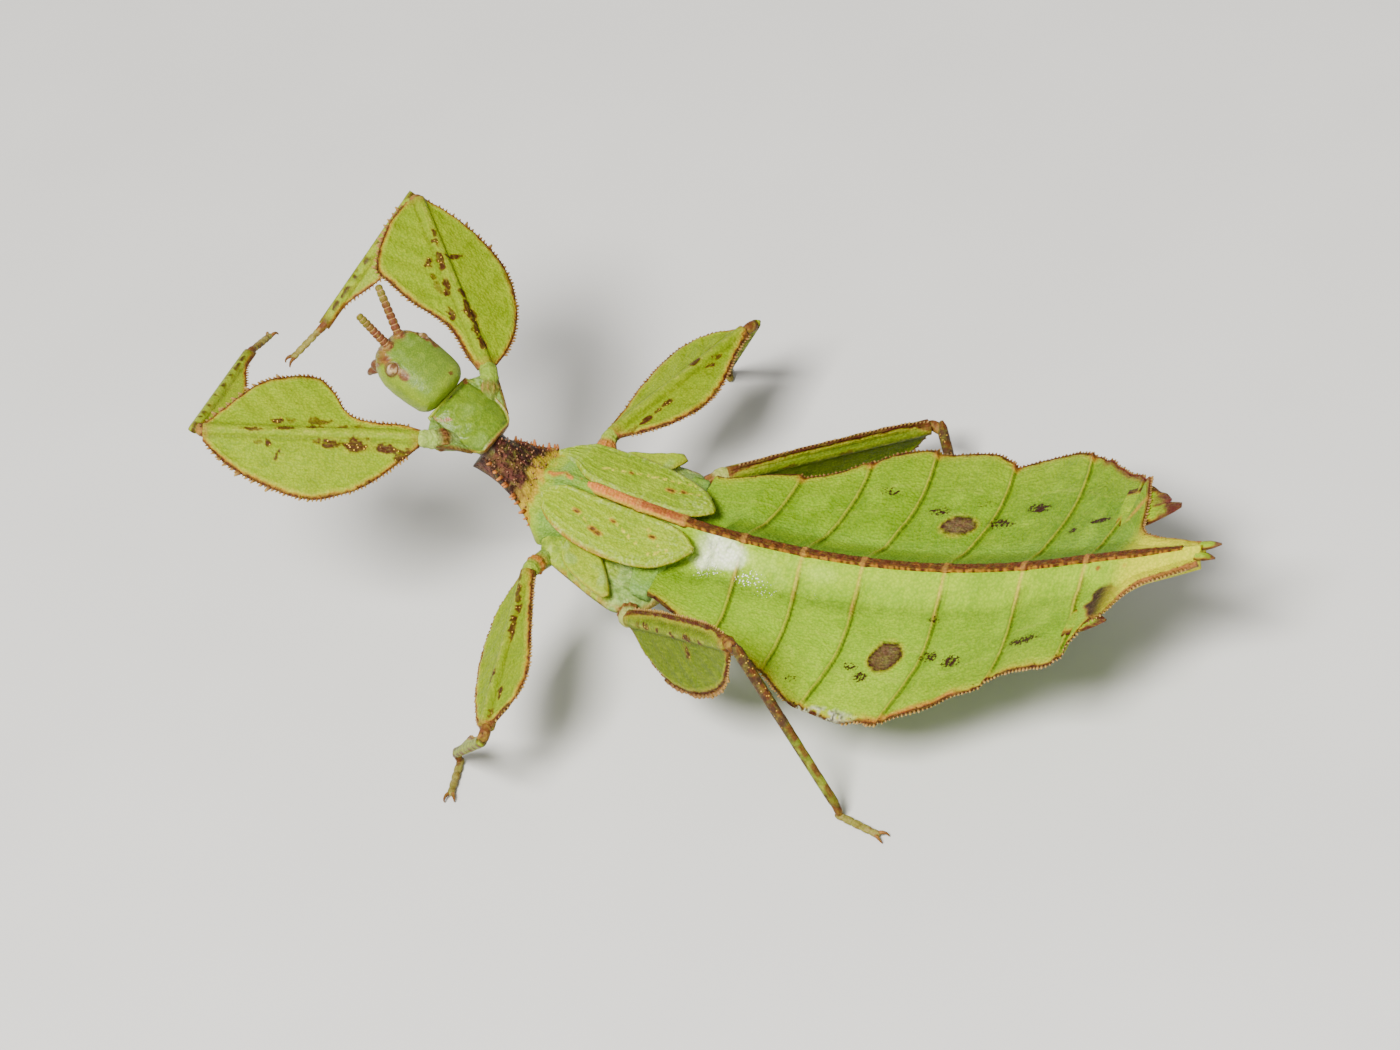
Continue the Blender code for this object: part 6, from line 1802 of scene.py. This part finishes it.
def add_knee(leg, pair):
    """A short round joint from the thigh's end into the shin."""
    axis, knee = leg_frame(leg)[0], leg_points(leg)[2]
    start, onward = shin_line(leg)
    points = [knee - axis * (THIGH_SHORT[pair] + 0.25), knee - axis * 0.25, start + onward * 0.75]
    limb("knee_" + leg, (26, 22), points, scaled(BALL_RADII, 0.37), brown_joint, shin_skin)


# %% Feet, ankles and claws
FOOT_RADII = ((0.0, 0.0), (0.03, 0.2), (0.15, 0.27), (0.85, 0.26), (0.97, 0.2), (1.0, 0.0))
CLAW = ((-0.25, 0.12, 0.0), (0.1, 0.26, 0.1), (0.34, 0.34, 0.02), (0.48, 0.34, -0.15))
CLAW_RADII = ((0.0, 0.0), (0.05, 0.12), (0.5, 0.085), (0.95, 0.035), (1.0, 0.0))
SOLE = 0.25                   # middle of a standing foot above the floor


def add_foot(leg, stands):
    """The foot, flat on the floor or held up, with its ankle and two claws."""
    ankle, toe = leg_points(leg)[3:]
    floor = -BACK_HEIGHT if stands else None
    if stands:
        start, end = np.array((*ankle[:2], floor + SOLE)), np.array((*toe[:2], floor + SOLE))
        start = start - unit(end - start) * 0.35
    else:
        start, end = ankle + unit(toe - ankle) * 0.3, toe
    along = unit(end - start)
    limb("foot_" + leg, (90, 20), [start, start + (end - start) * 0.5, end], FOOT_RADII, foot_paint,
         shin_skin, ("tarsus_" + leg,), ring=foot_ring, flat=0.85, floor=floor)
    points = [ankle - shin_line(leg)[1] * 0.6, ankle, start + along * 0.45]
    limb("ankle_" + leg, (20, 18), points, scaled(BALL_RADII, 0.27), brown_joint, shin_skin, floor=floor)
    flank = unit(np.cross(along, (0.0, 0.0, 1.0)))
    lift = unit(np.cross(flank, along))
    for word, sign in (("a", 1.0), ("b", -1.0)):
        points = [end + along * ahead + flank * (sign * aside) + lift * up for ahead, aside, up in CLAW]
        limb("claw_" + leg + "_" + word, (16, 8), points, CLAW_RADII, claw_paint, shin_skin, floor=floor)


# %% Put the six legs on
for leg in LEGS:
    pair = leg.split("_")[0]
    add_hip(leg, pair)
    settle("blade_" + leg, leaf_grid(180, 96), thigh_shape(leg), thigh_paint(leg), blade_skin,
           ("femur_" + leg,))
    settle("shin_" + leg, leaf_grid(130, 26), shin_shape(leg), shin_paint(leg), shin_skin,
           ("tibia_" + leg,))
    add_knee(leg, pair)
    add_foot(leg, pair != "fore")
print("legs on:", len(LEGS))

# %% Folds of soft skin between the shield and the fore hips
def web_shape(corners, bulge):
    """A crinkled sheet between four points, given in order round it."""
    a, b, c, d = (np.asarray(corner, dtype=float) for corner in corners)
    normal = unit(np.cross(b - a, d - a))
    if normal[2] < 0:
        normal = -normal

    def shape(t, v, face):
        near, far = a + np.outer(t, b - a), d + np.outer(t, c - d)
        spots = near + (far - near) * v[:, None]
        hill = bulge * np.sin(math.pi * v) * np.sin(math.pi * t)
        crinkle = 0.1 * np.sin(9.0 * t + 3.0 * v) * np.sin(math.pi * v)
        crinkle += 0.04 * cloud(t * 6.0, v * 3.0, 0.4, 141)
        lift = np.where(face > 0.5, hill + crinkle, hill + crinkle - 0.22)
        return spots + np.outer(lift, normal), {"way": points_of(t * 3.0, v * 2.0, face)}

    return shape


def web_paint(spots, facts, t, v, face):
    """Half-clear green with pale folds and a dark rear edge."""
    fold = cloud(t * 6.0, v * 3.0, 0.35, 142)
    coat = Paint(len(t), (0.17, 0.25, 0.05), 0.0, 0.0, 0.6)
    coat.lay(step_up(fold, 0.1, 0.6) * 0.6, (0.3, 0.4, 0.16))
    coat.lay(step_up(-fold, 0.2, 0.7) * 0.5, (0.1, 0.12, 0.018))
    coat.lay(step_down(t + 0.04 * fold, 0.05, 0.13) * 0.9, (0.11, 0.03, 0.014))
    coat.lay(step_up(v + 0.1 * fold, 0.8, 0.96) * step_down(t, 0.3, 0.6) * 0.8, (0.15, 0.05, 0.02))
    return coat


for word, side in SIDES:
    root = np.array(LEGS["fore_" + word][1])
    _, ahead, normal = leg_frame("fore_" + word)
    corners = (turned(0.7, side * 1.95, 0.4), turned(4.25, side * 1.85, 0.45),
               root + ahead * 0.5 + normal * 0.05, root - ahead * 0.5 + normal * 0.05)
    settle("web_" + word, leaf_grid(60, 40), web_shape(corners, 0.16), web_paint, leaf_skin)
print("webs on:", len(SIDES))

# %% [markdown]
# ## Teeth and spines
#
# Every leaf-like edge of this insect is finely toothed, and the collar bristles
# with small spines. A tooth is a blunt five-sided cone, brown at its root and
# pale at its tip. Those of one part are joined in one mesh, and they stand at
# even steps along the rim of the same shape that made the skin.

# %% Walk along a rim
def rim_places(shape, edge_v, inner_v, first, last, spacing):
    """Even places along a rim, with the outward and onward directions at each."""
    t = np.linspace(first, last, 600)

    def middle(places, v):
        over, _ = shape(places, np.full_like(places, v), np.ones_like(places))
        under, _ = shape(places, np.full_like(places, v), np.zeros_like(places))
        return (over + under) / 2.0

    edge = middle(t, edge_v)
    walked = np.concatenate(((0.0,), np.cumsum(np.linalg.norm(np.diff(edge, axis=0), axis=1))))
    stops = np.interp(np.arange(spacing / 2.0, walked[-1], spacing), walked, t)
    here = middle(stops, edge_v)
    onward = middle(np.minimum(stops + 0.004, 1.0), edge_v) - middle(np.maximum(stops - 0.004, 0.0), edge_v)
    onward /= np.linalg.norm(onward, axis=1)[:, None]
    outward = here - middle(stops, inner_v)
    outward -= onward * (outward * onward).sum(axis=1)[:, None]
    outward /= np.linalg.norm(outward, axis=1)[:, None]
    return here, outward, onward


# %% Grow a tooth on every place
def grow_teeth(name, rims, length, radius, root, tip, seed, lean=0.35):
    """One small cone on every place of the rims, joined in one mesh."""
    chance = random.Random(seed + SEED)
    bm = bmesh.new()
    coat = bm.verts.layers.float_color.new("paint")
    flecks = bm.verts.layers.float_color.new("marks")
    for places, outs, ons in rims:
        for place, out, on in zip(places, outs, ons):
            size = chance.uniform(0.65, 1.25)
            aim = Vector(out + on * lean * chance.uniform(0.4, 1.4))
            made = bmesh.ops.create_cone(
                bm, cap_ends=True, segments=5, radius1=radius * size * MM, radius2=radius * size * 0.35 * MM,
                depth=length * size * MM)
            for vert in made["verts"]:
                vert[coat] = (*(tip if vert.co.z > 0.0 else root), 1.0)
                vert[flecks] = (0.0, 0.0, 0.5, 0.0)
            turn = aim.normalized().to_track_quat("Z", "Y").to_matrix().to_4x4()
            middle = Vector(metres(place + unit(aim) * length * size * 0.32))
            bmesh.ops.transform(bm, matrix=Matrix.Translation(middle) @ turn, verts=made["verts"])
    mesh = bpy.data.meshes.new(name)
    bmesh.ops.recalc_face_normals(bm, faces=bm.faces)
    bm.to_mesh(mesh)
    bm.free()
    print(name + ":", sum(len(places) for places, _, _ in rims), "cones")
    return hang(name, mesh, tooth_skin, ())


# %% Teeth on the abdomen, thighs and shins
tooth_skin = skin_material("tooth skin", 0.35, 0.09, 0.008, sink=0.1)
TOOTH_STEP = 0.27             # from one tooth to the next
BIG_TOOTH_STEP = 0.55
ROOT_BROWN = (0.14, 0.035, 0.015)
TIP_PALE = (0.5, 0.28, 0.1)


def kept(places, keep):
    """Only the rim places where keep is true."""
    return tuple(part[keep(places[0])] for part in places)


right_rim = rim_places(abdomen_shape, 0.0, 0.04, 0.13, 0.985, TOOTH_STEP)
left_rim = rim_places(abdomen_shape, 1.0, 0.96, 0.13, 0.985, TOOTH_STEP)
left_rim = kept(left_rim, lambda here: (here[:, 0] > 1.2) | (here[:, 0] < -3.2))
grow_teeth("teeth_abdomen", [right_rim, left_rim], 0.2, 0.115, ROOT_BROWN, TIP_PALE, 111, -0.2)
BOTH_RIMS = (0.0, 1.0)        # behind and ahead, as places across the skin
for leg in LEGS:
    thigh = thigh_shape(leg)
    rims = [rim_places(thigh, v, abs(v - 0.04), 0.05, 0.99, TOOTH_STEP) for v in BOTH_RIMS]
    grow_teeth("teeth_" + leg, rims, 0.19, 0.105, ROOT_BROWN, TIP_PALE, 112)
    if leg.startswith("fore"):
        rims = [rim_places(thigh, v, abs(v - 0.04), 0.66, 0.97, BIG_TOOTH_STEP) for v in BOTH_RIMS]
        grow_teeth("big_teeth_" + leg, rims, 0.36, 0.15, ROOT_BROWN, TIP_PALE, 117)
    if leg.startswith("hind"):
        rims = [rim_places(thigh, 0.0, 0.04, 0.22, 0.9, BIG_TOOTH_STEP)]
        grow_teeth("big_teeth_" + leg, rims, 0.34, 0.22, (0.08, 0.018, 0.012), (0.44, 0.22, 0.1), 118)
    else:
        rims = [rim_places(shin_shape(leg), 1.0, 0.9, 0.1, 0.85, 0.3)]
        grow_teeth("teeth_shin_" + leg, rims, 0.19, 0.085, ROOT_BROWN, TIP_PALE, 113)

# %% Spines and knobs on the collar
def on_collar(s, v):
    """A point of the collar's skin."""
    return mesothorax_shape(np.array([collar_share(s)]), np.array([v]), np.ones(1))[0]


chance = random.Random(SEED)
spines = []
for side in (-1.0, 1.0):
    for n in range(12):
        s = 21.9 + 0.2 * n + chance.uniform(-0.12, 0.12)
        base = on_collar(s, 0.5 + side * 0.495)
        out = unit((0.25, side * 1.0, 0.35 + chance.uniform(-0.3, 0.3)))
        spines.append((base - out * 0.05, np.array([out]), np.array([(0.3, 0.0, 0.2)])))
grow_teeth("collar_spines", spines, 0.44, 0.16, (0.24, 0.05, 0.02), (0.62, 0.2, 0.07), 115, 0.3)
knobs = []
for n in range(70):
    s = chance.uniform(22.1, 24.35)
    reach = chance.uniform(-0.95, 0.95)
    base = on_collar(s, 0.5 + reach / 2.0)
    out = unit((-0.3, reach * 0.9, 1.0))
    knobs.append((base, np.array([out]), np.array([(0.2, 0.0, 0.0)])))
grow_teeth("collar_knobs", knobs, 0.15, 0.085, (0.1, 0.03, 0.022), (0.4, 0.17, 0.12), 116, 0.2)

# %% [markdown]
# ## Stage, light and camera
#
# A pale floor, one soft light high on the camera's side, a fill and a low rim
# light show the skin without glare or hard shadows. The camera stands above
# and beside the tail end, as the portrait has it, with a long lens, so that
# the near and far legs keep their sizes.

# %% Floor
def paper_material():
    """Pale, slightly uneven paper."""
    material = bpy.data.materials.new("paper floor")
    material.use_nodes = True
    tree = material.node_tree
    shader = tree.nodes["Principled BSDF"]
    place = tree.nodes.new("ShaderNodeTexCoord")
    tone = tree.nodes.new("ShaderNodeTexNoise")
    tone.inputs["Scale"].default_value = 60.0
    blend = tree.nodes.new("ShaderNodeMix")
    blend.data_type = "RGBA"
    blend.inputs[6].default_value = (0.62, 0.61, 0.59, 1.0)
    blend.inputs[7].default_value = (0.68, 0.67, 0.65, 1.0)
    tree.links.new(place.outputs["Object"], tone.inputs["Vector"])
    tree.links.new(tone.outputs["Fac"], blend.inputs[0])
    tree.links.new(blend.outputs[2], shader.inputs["Base Color"])
    shader.inputs["Roughness"].default_value = 0.85
    return material


bm = bmesh.new()
bmesh.ops.create_grid(bm, x_segments=2, y_segments=2, size=2.0)
floor_mesh = bpy.data.meshes.new("floor")
bm.to_mesh(floor_mesh)
bm.free()
floor_mesh.materials.append(paper_material())
floor = bpy.data.objects.new("floor", floor_mesh)
bpy.context.scene.collection.objects.link(floor)

# %% Lights
def soft_light(name, place, aim, size, watts, colour=(1.0, 1.0, 1.0)):
    """An area light at a place, turned towards a point."""
    data = bpy.data.lights.new(name, "AREA")
    data.size = size
    data.energy = watts
    data.color = colour
    lamp = bpy.data.objects.new(name, data)
    lamp.location = place
    lamp.rotation_euler = (Vector(aim) - Vector(place)).to_track_quat("-Z", "Y").to_euler()
    bpy.context.scene.collection.objects.link(lamp)
    return lamp


MIDDLE = (0.0, 0.0, 0.012)
soft_light("key", (-0.02, 0.25, 0.38), MIDDLE, 0.16, 5.0, (1.0, 0.985, 0.95))
soft_light("fill", (-0.35, 0.32, 0.25), MIDDLE, 0.35, 0.6, (1.0, 1.0, 0.98))
soft_light("rim", (0.35, -0.25, 0.16), MIDDLE, 0.25, 0.6, (1.0, 0.97, 0.92))
world = bpy.data.worlds.new("room")
bpy.context.scene.world = world
world.use_nodes = True
world.node_tree.nodes["Background"].inputs["Color"].default_value = (0.92, 0.92, 0.9, 1.0)
world.node_tree.nodes["Background"].inputs["Strength"].default_value = 0.3

# %% Camera
lens = bpy.data.cameras.new("portrait")
lens.lens = 133.005
lens.sensor_width = 36.0
lens.clip_start = 0.01
camera = bpy.data.objects.new("portrait", lens)
right, up, towards = (-0.886, -0.396, -0.241), (0.111, -0.685, 0.72), (-0.451, 0.611, 0.651)
camera.matrix_world = Matrix((
    (right[0], up[0], towards[0], -0.147521),
    (right[1], up[1], towards[1], 0.205136),
    (right[2], up[2], towards[2], 0.22456),
    (0.0, 0.0, 0.0, 1.0)))
bpy.context.scene.collection.objects.link(camera)
bpy.context.scene.camera = camera
